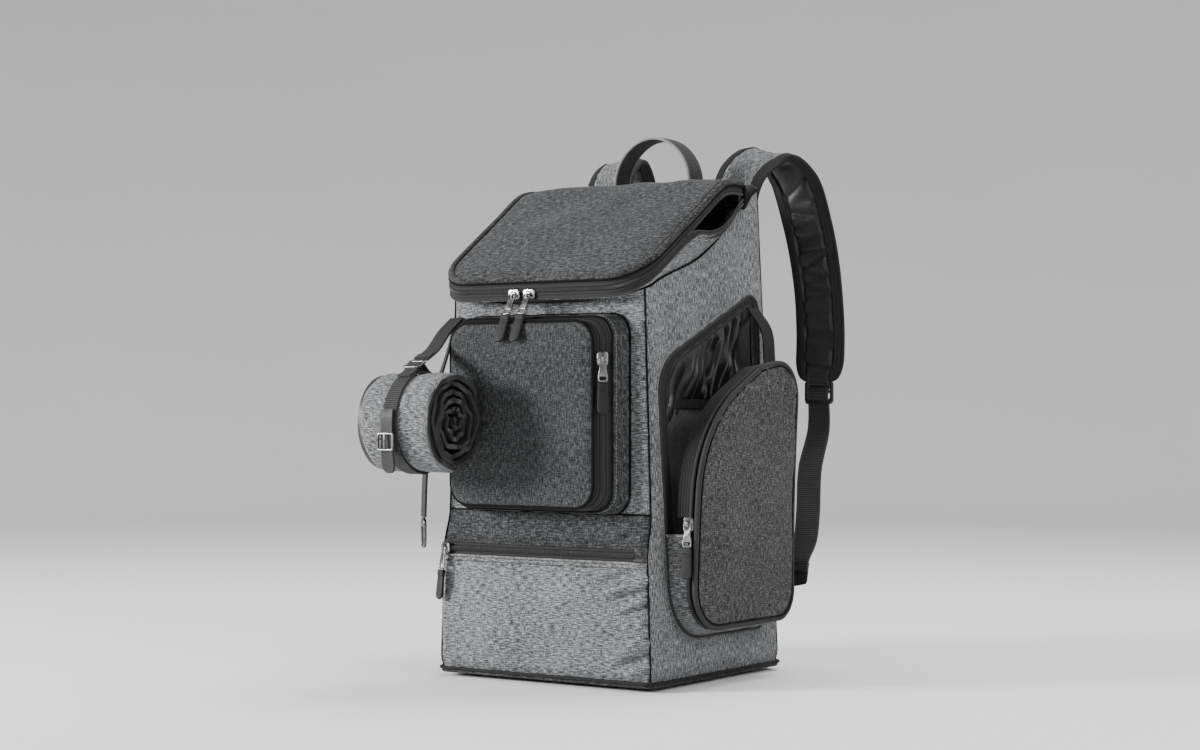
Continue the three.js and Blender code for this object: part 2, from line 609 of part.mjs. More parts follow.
const STRAP_ROUTES = {
  right: [
    { x: 76, y: 114.2, z: 452, sx: 1, sy: 0, sz: 0 },
    { x: 76, y: 113.4, z: 482, sx: 1, sy: 0, sz: 0 },
    { x: 80, y: 131, z: 519, sx: 1, sy: 0, sz: -0.2 },
    { x: 91, y: 164, z: 536, sx: 1, sy: 0.1, sz: -0.25 },
    { x: 104, y: 190, z: 514, sx: 1, sy: 0.1, sz: -0.2 },
    { x: 114, y: 204, z: 466, sx: 1, sy: 0.05, sz: -0.1 },
    { x: 122, y: 210, z: 410, sx: 1, sy: 0, sz: 0 },
    { x: 126, y: 211, z: 350, sx: 1, sy: 0, sz: 0 },
    { x: 126, y: 208, z: 300, sx: 1, sy: 0, sz: 0 },
  ],
  left: [
    { x: -82, y: 114.2, z: 452, sx: 1, sy: 0, sz: 0 },
    { x: -83, y: 113.4, z: 482, sx: 1, sy: 0, sz: 0 },
    { x: -89, y: 131, z: 519, sx: 1, sy: 0, sz: 0.05 },
    { x: -96, y: 164, z: 537, sx: 1, sy: 0, sz: 0.1 },
    { x: -100, y: 190, z: 514, sx: 1, sy: 0, sz: 0.1 },
    { x: -104, y: 204, z: 466, sx: 1, sy: 0, sz: 0.05 },
    { x: -108, y: 210, z: 410, sx: 1, sy: 0, sz: 0 },
    { x: -112, y: 211, z: 350, sx: 1, sy: 0, sz: 0 },
    { x: -113, y: 208, z: 300, sx: 1, sy: 0, sz: 0 },
  ],
};
const BUCKLE = { width: 34, height: 26, thickness: 5, slotWidth: 27, slotHeight: 15 };
const ANCHOR = { x: 146, y: 124, z: 100, thickness: 3 };

function makeStrap(name) {
  const rows = STRAP_ROUTES[name];
  const ends = (t) => 1 - 0.18 * smoothstep(t, 0.94, 1);
  const pad = sweep(routeStations(rows, 20, ends), barProfile(STRAP.width, STRAP.thickness));
  add(`strap_pad_${name}`, pad, "light");
  const end = rows[rows.length - 1];
  const buckleZ = end.z - 1.5 * GAP - BUCKLE.height / 2;
  const hole = roundedRectangle(BUCKLE.slotWidth / 2, BUCKLE.slotHeight / 2, 2).reverse();
  const frame = roundedRectangle(BUCKLE.width / 2, BUCKLE.height / 2, 5);
  const buckle = extruded(frame, BUCKLE.thickness, "front", hole);
  add(`strap_buckle_${name}`, buckle.translate(end.x, end.y + BUCKLE.thickness / 2, buckleZ), "plastic");

  const s = Math.sign(end.x);
  const top = buckleZ - BUCKLE.height / 2 - 2 * GAP;
  const webRows = [
    { x: end.x, y: end.y, z: top, sx: 1, sy: 0, sz: 0 },
    { x: end.x + s, y: end.y - 3, z: top - 26, sx: 1, sy: 0.1 * s, sz: 0 },
    { x: lerp(end.x, s * ANCHOR.x, 0.4), y: 174, z: 205, sx: 1, sy: 0.4 * s, sz: 0 },
    { x: s * (ANCHOR.x - 2), y: 152, z: 160, sx: 0.9, sy: 0.4 * s, sz: 0 },
    { x: s * (ANCHOR.x + 3), y: 137, z: 132, sx: 1, sy: 0.2 * s, sz: 0 },
    { x: s * (ANCHOR.x + 3), y: ANCHOR.y - 1, z: ANCHOR.z + 13.2, sx: 1, sy: 0, sz: 0 },
  ];
  const web = sweep(routeStations(webRows, 18), barProfile(STRAP.web, STRAP.webThickness));
  add(`strap_web_${name}`, web, "webbing");
  const corners = [
    { x: -42, y: -22, r: 2 },
    { x: 13, y: -11, r: 4 },
    { x: 16, y: 12, r: 2 },
    { x: -10, y: 12, r: 2 },
    { x: -42, y: 4, r: 2 },
  ];
  const tab = extruded(roundedCorners(corners, { steps: 2 }), ANCHOR.thickness, "front");
  if (s < 0) tab.rotateZ(Math.PI).translate(0, -ANCHOR.thickness, 0);
  add(`strap_anchor_${name}`, tab.translate(s * ANCHOR.x, ANCHOR.y, ANCHOR.z), "webbing");
}

// Rolled changing mat with its strap, and the clip strap beside it

const HOOK = { halfWidth: 7, halfHeight: 15.5, thickness: 3.2, turn: -37 };
const HOOK_EYE = { halfWidth: 4, halfHeight: 9.5, drop: 3 };

// The roll's flattened circle of a radius, at an angle from straight down, as a point of y and z.
const rollPoint = (radius, angle) => new THREE.Vector2(
  MAT.y + Math.sin(angle) * radius * MAT.squash,
  MAT.z - Math.cos(angle) * radius,
);

function makeMat() {
  const steps = 16;
  const turn = (angle) => lerp(MAT.core, MAT.radius, angle / (2 * Math.PI * MAT.turns));
  const angles = range(0, 2 * Math.PI * MAT.turns, MAT.turns * steps);
  const outside = angles.map((angle) => rollPoint(turn(angle), angle));
  const inside = angles.map((angle) => rollPoint(turn(angle) - MAT.wall, angle));
  const coil = extruded([...outside, ...inside.reverse()], MAT.to - MAT.from, "right");
  add("changing_mat", coil.translate(MAT.from, 0, 0), "light");

  const loop = (radius) => range(0, 2 * Math.PI, 32).slice(0, -1).map((angle) => rollPoint(radius, angle));
  const hollow = loop(MAT.radius + MAT_STRAP.inside).reverse();
  const band = extruded(loop(MAT.radius + MAT_STRAP.outside), MAT_STRAP.width, "right", hollow);
  add("mat_strap", band.translate(MAT_STRAP.x - MAT_STRAP.width / 2, 0, 0), "webbing");

  const across = { sx: 1, sy: 0, sz: 0 };
  const front = MAT.y - (MAT.radius + MAT_STRAP.outside) * MAT.squash;
  const tabRows = [
    { x: MAT_STRAP.x, y: front - 0.5, z: MAT.z + 12, ...across },
    { x: MAT_STRAP.x, y: front - 1.6, z: MAT.z - 4, ...across },
    { x: MAT_STRAP.x, y: front - 0.6, z: MAT.z - 28, ...across },
    { x: MAT_STRAP.x, y: front + 2.5, z: MAT.z - 49, ...across },
  ];
  const tabEnd = (t) => 1 - 0.35 * smoothstep(t, 0.86, 1);
  add("mat_strap_tab", sweep(routeStations(tabRows, 10, tabEnd), barProfile(14, 2.2)), "rubber");
  const ring = (w, h) => roundedRectangle(w, h, 2.5);
  const buckle = extruded(ring(10.5, 9), 2.2, "front", ring(8, 6.5).reverse());
  add("mat_buckle", buckle.translate(MAT_STRAP.x, front - 2.8, MAT.z - 19), "metal");

  const top = MAT.z + MAT.radius + 3;
  const hangerRows = [
    { x: -92, y: -195, z: top + 7.6, ...across },
    { x: -95, y: -183, z: top + 12, ...across },
    { x: -101, y: -163, z: top + 20, ...across },
    { x: -108, y: -136, z: top + 38, ...across },
    { x: -109.5, y: -115.3, z: top + 51, ...across },
  ];
  add("mat_hanger", sweep(routeStations(hangerRows, 14), barProfile(16, 2.2)), "webbing");
  const link = extruded(ring(10.5, 7), 2.4, "front", ring(8, 4.5).reverse());
  add("mat_hanger_ring", link.rotateX(degToRad(-62)).translate(-92, -203, top + 2.6), "metal");

  const clipRows = [
    { x: -117, y: -110.5, z: 357, sx: 0.7, sy: -0.7, sz: 0 },
    { x: -121, y: -114.4, z: 330, sx: 0.7, sy: -0.7, sz: 0 },
    { x: -134, y: -126, z: 270, sx: 0.8, sy: -0.6, sz: 0 },
    { x: -139, y: -130, z: 200, sx: 0.8, sy: -0.6, sz: 0 },
    { x: -140, y: -131, z: 160, sx: 0.8, sy: -0.6, sz: 0 },
  ];
  add("clip_strap", sweep(routeStations(clipRows, 14), barProfile(16, 2)), "webbing");
  const { halfWidth: w, halfHeight: h, thickness } = HOOK;
  const eye = roundedRectangle(HOOK_EYE.halfWidth, HOOK_EYE.halfHeight, HOOK_EYE.halfWidth - 0.2, 4);
  eye.forEach((p) => p.setY(p.y - HOOK_EYE.drop));
  const hook = extruded(roundedRectangle(w, h, w - 0.5, 4), thickness, "front", eye.reverse());
  hook.translate(0, thickness / 2, -h).rotateZ(degToRad(HOOK.turn));
  add("clip_hook", hook.translate(-140, -131, 160 - GAP), "metal");
}

// Zip sliders, each with a pull that swings on a cross-bar under the slider's bridge, and a tab below it

const BRIDGE = { half: 3.2, slot: 2, height: 4.2, slotHeight: 3, width: 2.4, sink: 0.2 };
const PULL_JOINTS = {
  lid_left: { x: -22, y: LID.frontY - SLIDER.seat, z: 381, yaw: 0, lean: 27, along: "x" },
  lid_right: { x: -4, y: LID.frontY - SLIDER.seat, z: 381, yaw: 0, lean: 27, along: "x" },
  front: { x: 90.6, y: -146.6, z: 317, yaw: 40, lean: 2, along: "z" },
  lower: { x: -117, y: -127.6, z: 130, yaw: -20, lean: 6, along: "x" },
  side: { x: 153, y: -95.6, z: 160, yaw: 8, lean: 4, along: "z" },
};

function sliderGeometry(along) {
  const lies = along === "x";
  const w = lies ? SLIDER.long : SLIDER.short;
  const h = lies ? SLIDER.short : SLIDER.long;
  const top = BRIDGE.slotHeight / 2;
  const outline = roundedRectangle(w, h, SLIDER.corner);
  const plate = extruded(outline, SLIDER.plate, "front").translate(0, top + SLIDER.plate, 0);
  const { half, slot, height, slotHeight, width, sink } = BRIDGE;
  const arch = [
    [half, -sink], [half, height - 1], [half - 1, height],
    [1 - half, height], [-half, height - 1], [-half, -sink],
    [-slot, -sink], [-slot, slotHeight], [slot, slotHeight], [slot, -sink],
  ].map(([z, h2]) => new THREE.Vector2(-h2, z));
  const bridge = extruded(arch, width, "right").translate(-width / 2, top, 0);
  return join(plate, bridge);
}

function makePull(name, { x, y, z, yaw, lean, along }) {
  const place = new THREE.Group();
  place.position.set(x, y, z);
  place.rotation.z = degToRad(yaw);
  bag.add(place);
  add(`${name}_slider`, sliderGeometry(along), "metal", place);
  const swing = new THREE.Group();
  swing.rotation.x = degToRad(-lean);
  place.add(swing);
  const t = PULL.thickness;
  const plate = roundedCorners([
    { x: -4, y: t / 2, r: 1 },
    { x: -4.8, y: -PULL.length, r: 2 },
    { x: 4.8, y: -PULL.length, r: 2 },
    { x: 4, y: t / 2, r: 1 },
  ], { steps: 2 });
  const { eyeHalf, eyeEnd } = PULL;
  const eye = [[-eyeHalf, -t / 2], [eyeHalf, -t / 2], [eyeHalf, -eyeEnd], [-eyeHalf, -eyeEnd]];
  const hole = eye.map(([a, b]) => new THREE.Vector2(a, b));
  add(`${name}_pull`, extruded(plate, t, "front", hole).translate(0, t / 2, 0), "metal", swing);
  const w = TAB.width / 2;
  const high = -PULL.length - GAP;
  const tab = roundedCorners([
    { x: -w * 0.8, y: high, r: 1.5 },
    { x: -w, y: high - TAB.length, r: w * 0.95 },
    { x: w, y: high - TAB.length, r: w * 0.95 },
    { x: w * 0.8, y: high, r: 1.5 },
  ], { steps: 4 });
  const depth = TAB.thickness;
  add(`${name}_tab`, extruded(tab, depth, "front").translate(0, depth / 2, 0), "rubber", swing);
}

makeBody();
makeLid();
makeYoke();
makeFrontPocket();
makeSide();
for (const name of Object.keys(STRAP_ROUTES)) makeStrap(name);
makeMat();
for (const [name, joint] of Object.entries(PULL_JOINTS)) makePull(name, joint);

// The origin is the middle of the footprint of the whole object, on the surface that it stands on.
const box = new THREE.Box3().setFromObject(bag, true);
const middle = box.getCenter(vec());
bag.position.set(-middle.x, -middle.y, 0);

const part = new THREE.Group();
part.add(bag);
part.updateMatrixWorld(true);

export default part;
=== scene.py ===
"""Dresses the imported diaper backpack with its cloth, zips, straps, rolled mat and metal fittings."""

import logging
import math
from collections.abc import Callable, Sequence
from dataclasses import dataclass
from enum import Enum
from typing import Any

import bpy
import numpy as np
from mathutils import Matrix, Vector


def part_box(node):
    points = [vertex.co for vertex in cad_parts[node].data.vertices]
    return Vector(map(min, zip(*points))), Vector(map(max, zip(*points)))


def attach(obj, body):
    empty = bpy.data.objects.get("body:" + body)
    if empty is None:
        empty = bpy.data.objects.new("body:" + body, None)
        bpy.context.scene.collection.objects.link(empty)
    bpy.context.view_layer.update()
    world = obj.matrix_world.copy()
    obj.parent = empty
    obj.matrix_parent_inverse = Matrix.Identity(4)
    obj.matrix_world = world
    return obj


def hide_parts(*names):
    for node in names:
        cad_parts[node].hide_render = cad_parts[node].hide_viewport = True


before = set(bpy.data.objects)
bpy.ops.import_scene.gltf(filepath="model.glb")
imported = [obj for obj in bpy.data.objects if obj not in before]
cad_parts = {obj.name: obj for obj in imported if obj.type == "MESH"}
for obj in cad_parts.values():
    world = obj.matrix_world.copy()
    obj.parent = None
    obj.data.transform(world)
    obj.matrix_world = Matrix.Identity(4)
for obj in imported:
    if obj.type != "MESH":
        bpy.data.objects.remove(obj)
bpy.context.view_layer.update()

LOG = logging.getLogger("backpack")
MM = 0.001
BAG = "bag"
TURN = 2.0 * np.pi
ACROSS = (1.0, 0.0, 0.0)
TAPE_THICK = 1.4
LINING_THICK = 0.8

Array = np.ndarray
Row = tuple[float, ...]
Rows = tuple[Row, ...]
Object = bpy.types.Object
Material = bpy.types.Material


def bag_shift() -> Array:
    """The bag's own middle in the part's frame, in metres, from the base that it stands on."""
    low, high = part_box("base_panel")
    return np.array([(low[0] + high[0]) / 2, (low[1] + high[1]) / 2, 0.0])


SHIFT = bag_shift()


# Numbers and lines


def lerp(first: Any, second: Any, share: Any) -> Any:
    """The value at a share of the way from first to second."""
    return first + (second - first) * share


def smoothstep(value: Any, low: float, high: float) -> Any:
    """An eased 0 to 1 between low and high."""
    share = np.clip((value - low) / (high - low), 0.0, 1.0)
    return share * share * (3.0 - 2.0 * share)


def hump(value: Any, low: float, high: float) -> Any:
    """A bump that rises from 0 to 1 and back between low and high."""
    return np.sin(np.pi * np.clip((value - low) / (high - low), 0.0, 1.0)) ** 2


def bell(value: Any, middle: float, width: float) -> Any:
    """A bump of 1 at the middle that fades on both sides."""
    return np.exp(-(((value - middle) / width) ** 2))


def table(*values: Any) -> Array:
    """Values side by side, each spread over the whole table."""
    return np.stack(np.broadcast_arrays(*values), -1)


def ripple(a: Array, b: Array, size: float, seed: int) -> Array:
    """Soft unevenness of about -1 to 1 over a sheet.

    Args:
        a: Places along the sheet, in millimetres.
        b: Places across the sheet, in millimetres.
        size: Usual distance between two crests.
        seed: Picks one unevenness from many.

    Returns:
        The height at each place.
    """
    rng = np.random.default_rng(seed)
    waves = 22
    total = np.zeros(np.broadcast(a, b).shape)
    for _ in range(waves):
        angle, phase = rng.uniform(0.0, TURN, 2)
        pitch = size * rng.uniform(0.7, 1.7)
        total += np.sin(TURN * (a * np.cos(angle) + b * np.sin(angle)) / pitch + phase)
    return total / math.sqrt(2.0 * waves)


def folded(folds: Rows, a: Array, b: Array) -> Array:
    """The height of the creases and ridges in a sheet, each less towards its ends.

    Args:
        folds: Rows of a start (a, b), an end (a, b), a width and a height, in the sheet's millimetres.
        a: Places along the sheet.
        b: Places across the sheet.

    Returns:
        The height at each place.
    """
    total = np.zeros(np.broadcast(a, b).shape)
    for a0, b0, a1, b1, width, height in folds:
        da, db = a1 - a0, b1 - b0
        share = np.clip(((a - a0) * da + (b - b0) * db) / (da * da + db * db), 0.0, 1.0)
        away = np.hypot(a - a0 - share * da, b - b0 - share * db)
        total = total + height * (0.35 + 0.65 * np.sin(np.pi * share)) * bell(away, 0.0, width)
    return total


def puckers(a: Array, b: Array, edge: Array, seed: int) -> Array:
    """The small gathers that a seam draws into the cloth beside it."""
    return 0.7 * ripple(a, b, 8.0, seed) * bell(edge, 0.45, 0.22)


def rounded(corners: Sequence[Row], inset: float = 0.0, steps: int = 10, ends: bool = False) -> Array:
    """A line round rounded corners.

    Args:
        corners: Rows of a place (a, b) and a radius.
        inset: How far the line lies inside the corners.
        steps: Pieces in each rounded corner.
        ends: Whether the line is open, with its first and last corner as its ends.

    Returns:
        The line's points, in the corners' order.
    """
    rows = np.array([(*c, 0.0)[:3] for c in corners], float)
    places, radii = rows[:, :2].copy(), np.maximum(rows[:, 2] - inset, 0.0)
    if inset:
        into = rows[:, :2] - np.roll(rows[:, :2], 1, axis=0)
        into /= np.linalg.norm(into, axis=1, keepdims=True)
        out = np.roll(into, -1, axis=0)
        turn = into[:, 0] * out[:, 1] - into[:, 1] * out[:, 0]
        places += (out - into) * (inset / turn)[:, None]
    line = []
    for i, place in enumerate(places):
        if radii[i] == 0.0 or (ends and i in (0, len(places) - 1)):
            line.append(place)
            continue
        back = places[i - 1] - place
        ahead = places[(i + 1) % len(places)] - place
        back /= np.linalg.norm(back)
        ahead /= np.linalg.norm(ahead)
        half = math.acos(float(np.clip(back @ ahead, -1.0, 1.0))) / 2.0
        inward = (back + ahead) / np.linalg.norm(back + ahead)
        centre = place + inward * radii[i] / math.sin(half)
        spoke = place + back * radii[i] / math.tan(half) - centre
        sign = np.sign(ahead[0] * back[1] - ahead[1] * back[0])
        for angle in np.linspace(0.0, (math.pi - 2.0 * half) * sign, steps + 1):
            cos, sin = math.cos(angle), math.sin(angle)
            line.append(centre + np.array([cos * spoke[0] - sin * spoke[1], sin * spoke[0] + cos * spoke[1]]))
    return np.array(line)


def rectangle(w: float, h: float, radius: float, steps: int = 6) -> Array:
    """The outline of a rectangle with rounded corners, from half its width and height."""
    return rounded([(-w, -h, radius), (w, -h, radius), (w, h, radius), (-w, h, radius)], steps=steps)


def lengths(line: Array) -> Array:
    """The distance along a line to each of its points."""
    return np.concatenate([[0.0], np.cumsum(np.linalg.norm(np.diff(line[:, :3], axis=0), axis=1))])


def spaced(line: Array, count: int, closed: bool = False) -> Array:
    """Points at even distances along a line.

    Args:
        line: The line's points, with any number of columns; the first three set the distance.
        count: How many points come back.
        closed: Whether the line runs back to its first point.

    Returns:
        The new points; a closed line's first point isn't repeated.
    """
    path = np.vstack([line, line[:1]]) if closed else line
    length = lengths(path)
    places = np.linspace(0.0, length[-1], count + 1 if closed else count)
    even = np.stack([np.interp(places, length, column) for column in path.T], axis=1)
    return even[:-1] if closed else even


def tangents(line: Array, closed: bool = False) -> Array:
    """The unit direction of a line at each of its points."""
    along = np.roll(line, -1, axis=0) - np.roll(line, 1, axis=0) if closed else np.gradient(line, axis=0)
    return along / np.linalg.norm(along, axis=1, keepdims=True)


def square_to(along: Array, wanted: Any) -> Array:
    """The unit directions square to a line's own that lie nearest to the wanted ones."""
    flat = wanted - along * np.sum(wanted * along, axis=1, keepdims=True)
    return flat / np.linalg.norm(flat, axis=1, keepdims=True)


def smooth_route(rows: Any, count: int) -> Array:
    """A smooth line through points.

    Args:
        rows: The points that the line passes.
        count: How many points come back.

    Returns:
        The line's points, an equal number between each two rows.
    """
    given = np.array(rows, float)
    spans = len(given) - 1
    path = np.vstack([2 * given[0] - given[1], given, 2 * given[-1] - given[-2]])
    places = np.linspace(0.0, spans, count)
    first = np.minimum(places.astype(int), spans - 1)
    share = (places - first)[:, None]
    p0, p1, p2, p3 = (path[first + i] for i in range(4))

    def gap(a: Array, b: Array, spare: Any) -> Array:
        """The root of the distance between points, or a spare value where they meet."""
        root = np.sum((b - a) ** 2, axis=1, keepdims=True) ** 0.25
        return np.where(root < 1e-4, spare, root)

    d1 = gap(p1, p2, 1.0)
    d0 = gap(p0, p1, d1)
    d2 = gap(p2, p3, d1)
    m1 = ((p1 - p0) / d0 - (p2 - p0) / (d0 + d1) + (p2 - p1) / d1) * d1
    m2 = ((p2 - p1) / d1 - (p3 - p1) / (d1 + d2) + (p3 - p2) / d2) * d1
    bend = -3 * p1 + 3 * p2 - 2 * m1 - m2
    return p1 + m1 * share + bend * share**2 + (2 * p1 - 2 * p2 + m1 + m2) * share**3


def between(first: Array, second: Array, rows: int, puff: float = 0.0, out: Array | None = None) -> Array:
    """A table of points between two lines with the same number of points.

    Args:
        first: The line of the first row.
        second: The line of the last row.
        rows: How many rows.
        puff: How far the middle rows stand out.
        out: The direction in which they stand out, for each point of the line.

    Returns:
        Columns by rows of points.
    """
    shares = np.linspace(0.0, 1.0, rows)
    points = np.stack([lerp(first, second, share) for share in shares], axis=1)
    if out is not None:
        points = points + puff * np.sin(np.pi * shares)[None, :, None] * out[:, None, :]
    return points


def crowned(outline: Array, columns: int, rows: int, place: Callable[..., Array]) -> tuple[Array, Array]:
    """A table of points over a panel inside a convex outline.

    Args:
        outline: The panel's closed outline, in the panel's own two directions.
        columns: Points along each row.
        rows: Rows of points, closer together at the ends.
        place: Gives the points for places a, b and an edge value, 0 at the rim and 1 in the middle.

    Returns:
        The points, and their places on the cloth.
    """
    low, high = outline[:, 1].min() + 0.05, outline[:, 1].max() - 0.05
    levels = lerp(low, high, (1.0 - np.cos(np.linspace(0.0, np.pi, rows))) / 2.0)
    ends = np.roll(outline, -1, axis=0)
    spans = []
    for level in levels:
        crossing = ((outline[:, 1] - level) * (ends[:, 1] - level) <= 0) & (outline[:, 1] != ends[:, 1])
        a, b = outline[crossing], ends[crossing]
        xs = lerp(a[:, 0], b[:, 0], (level - a[:, 1]) / (b[:, 1] - a[:, 1]))
        spans.append((xs.min(), xs.max()))
    left, right = np.array(spans).T
    u = np.linspace(-1.0, 1.0, columns)[:, None]
    v = (2.0 * (levels - low) / (high - low) - 1.0)[None]
    a = lerp(left[None], right[None], (u + 1.0) / 2.0)
    b = np.broadcast_to(levels[None], a.shape)
    return place(a, b, np.sqrt((1.0 - u**4) * (1.0 - v**4))), table(a, b)


def faces_along(points: Array, way: Array) -> bool:
    """Whether the normals of a table of points go the given way."""
    normal = np.cross(np.gradient(points, axis=0), np.gradient(points, axis=1))
    return bool(np.sum(normal * way) > 0.0)


# Work on meshes


def clear() -> None:
    """Deselects everything."""
    bpy.ops.object.select_all(action="DESELECT")


def pick(made: Object) -> None:
    """Selects one object alone and makes it active."""
    clear()
    made.select_set(True)
    bpy.context.view_layer.objects.active = made


def named(name: str) -> Object:
    """The new active object, given a name."""
    made = bpy.context.object
    made.name = made.data.name = name
    return made


def linked(name: str, data: bpy.types.ID) -> Object:
    """A new object in the scene."""
    made = bpy.data.objects.new(name, data)
    bpy.context.scene.collection.objects.link(made)
    return made


def drop(made: Object) -> None:
    """Removes a pattern or a tool that has done its work."""
    bpy.data.objects.remove(made, do_unlink=True)


def placed(points: Any) -> Array:
    """Bag millimetres as metres in the part's frame."""
    return np.asarray(points, float) * MM + SHIFT


def put_points(made: Object, points: Array) -> None:
    """Moves an object's vertices to new places."""
    made.data.vertices.foreach_set("co", np.ascontiguousarray(points, dtype=np.float32).ravel())
    made.data.update()


def put_uv(made: Object, uv: Array) -> None:
    """Gives each vertex of a piece its place on the cloth, in metres."""
    mesh = made.data
    corners = np.empty(len(mesh.loops), dtype=np.int32)
    mesh.loops.foreach_get("vertex_index", corners)
    layer = mesh.uv_layers.active or mesh.uv_layers.new(name="UVMap")
    layer.data.foreach_set("uv", np.ascontiguousarray(uv[corners], dtype=np.float32).ravel())


def edit(made: Object, *steps: tuple[str, dict[str, Any]]) -> None:
    """Works on the whole of a piece in edit mode.

    Args:
        made: The piece.
        steps: Mesh operators and their settings, in order.
    """
    pick(made)
    bpy.ops.object.mode_set(mode="EDIT")
    for name, settings in steps:
        bpy.ops.mesh.select_all(action="SELECT")
        getattr(bpy.ops.mesh, name)(**settings)
    bpy.ops.object.mode_set(mode="OBJECT")


def modify(made: Object, kind: str, **settings: Any) -> None:
    """Adds a modifier with its settings to a piece and applies it."""
    pick(made)
    modifier = made.modifiers.new(kind.title(), kind)
    for key, value in settings.items():
        setattr(modifier, key, value)
    bpy.ops.object.modifier_apply(modifier=modifier.name)


def shade(made: Object, degrees: float = 50.0) -> None:
    """Smooth shading that keeps edges sharper than an angle."""
    pick(made)
    bpy.ops.object.shade_smooth_by_angle(angle=math.radians(degrees))


def basis(x: Row, y: Row, z: Row, origin: Row) -> Matrix:
    """A matrix with the given axes and origin."""
    return Matrix(np.vstack([np.column_stack([x, y, z, origin]), (0, 0, 0, 1)]).tolist())


def upright(origin: Row) -> Matrix:
    """The place of a plate that stands up with its face to the bag's front."""
    return basis(ACROSS, (0, 0, 1), (0, -1, 0), origin)


def extruded(name: str, outline: Array, thick: float) -> Object:
    """An outline in X and Y, extruded to both sides of its plane."""
    clear()
    bpy.ops.mesh.primitive_circle_add(vertices=len(outline), radius=1.0, fill_type="NGON")
    made = named(name)
    put_points(made, np.column_stack([outline, np.full(len(outline), -thick / 2.0)]))
    rise = {"TRANSFORM_OT_translate": {"value": (0.0, 0.0, thick)}}
    edit(made, ("extrude_region_move", rise), ("normals_make_consistent", {"inside": False}))
    return made


def plate(
    name: str, outline: Array, thick: float, bevel: float, holes: Sequence[Array] = (), segments: int = 2,
    at: Row = (0.0, 0.0, 0.0),
) -> Object:
    """A flat hard plate in millimetres about the origin, with its outline in X and Y.

    Args:
        name: The part's name.
        outline: The plate's closed outline.
        thick: Its thickness, to both sides of the plane.
        bevel: The width of its eased edges.
        holes: The closed outlines of what is cut through it.
        segments: How finely its edges are eased.
        at: Where its middle lies.

    Returns:
        The plate, not yet on the bag.
    """
    made = extruded(name, outline, thick)
    for i, hole in enumerate(holes):
        cutter = extruded(f"{name}_cutter_{i}", hole, thick * 3.0)
        modify(made, "BOOLEAN", operation="DIFFERENCE", object=cutter, solver="EXACT")
        drop(cutter)
    modify(made, "BEVEL", width=bevel, segments=segments, limit_method="ANGLE", angle_limit=math.radians(40))
    edit(made, ("remove_doubles", {"threshold": 1e-4}))
    made.data.transform(Matrix.Translation(at))
    return made


def bead(length: float, radius: float, flat: float = 1.0) -> Object:
    """A short thread or coil turn along X, with eased ends, in millimetres about the origin."""
    clear()
    level = (0.0, math.pi / 2, 0.0)
    bpy.ops.mesh.primitive_cylinder_add(vertices=6, radius=radius, depth=length, rotation=level)
    made = named("bead")
    bpy.ops.object.transform_apply(location=False, rotation=True, scale=False)
    edit(made, ("bevel", {"offset": radius * 0.45, "segments": 1, "affect": "EDGES", "clamp_overlap": True}))
    made.data.transform(Matrix.Diagonal((1.0, 1.0, flat, 1.0)))
    return made


# Finishes


class Slot(Enum):
    """The record's material slots."""

    LIGHT = "light_cloth"
    DARK = "dark_cloth"
    TAPE = "zip_tape"
    WEB = "webbing"
    LINING = "lining"
    RUBBER = "rubber"
    METAL = "metal"
    PLASTIC = "plastic"


class Coords(Enum):
    """Where a finish reads its place: the cloth's own map, or the piece's place in the frame."""

    CLOTH = "UV"
    PLACE = "Object"


def step(operation: str, swapped: bool = False) -> Callable[..., "Val"]:
    """A method of Val for one step of arithmetic, with the other value first if swapped."""
    return lambda value, other=0.0: value.math(operation, other, swapped)


class Val:
    """A shader socket that takes part in ordinary arithmetic."""

    def __init__(self, shader: "Shader", socket: bpy.types.NodeSocket | None) -> None:
        """Keeps the shader and its output socket."""
        self.shader = shader
        self.socket = socket

    __add__ = step("ADD")
    __sub__ = step("SUBTRACT")
    __rsub__ = step("SUBTRACT", True)
    __mul__ = step("MULTIPLY")
    sine = step("SINE")
    size = step("ABSOLUTE")

    def math(self, operation: str, other: "Val | float", swapped: bool) -> "Val":
        """One step of arithmetic with another value, which comes first if swapped."""
        first, second = (other, self) if swapped else (self, other)
        return self.shader.node("ShaderNodeMath", {"operation": operation}, {0: first, 1: second})

    def wave(self, pitch: float) -> "Val":
        """A wave from 0 to 1 along the value."""
        return (self * (2.0 * math.pi / pitch)).sine() * 0.5 + 0.5

    def eased(self, low: float, high: float, first: float = 0.0, last: float = 1.0) -> "Val":
        """An eased change from first to last as the value goes from low to high."""
        sockets = {"Value": self, "From Min": low, "From Max": high, "To Min": first, "To Max": last}
        return self.shader.node("ShaderNodeMapRange", {"interpolation_type": "SMOOTHSTEP"}, sockets)


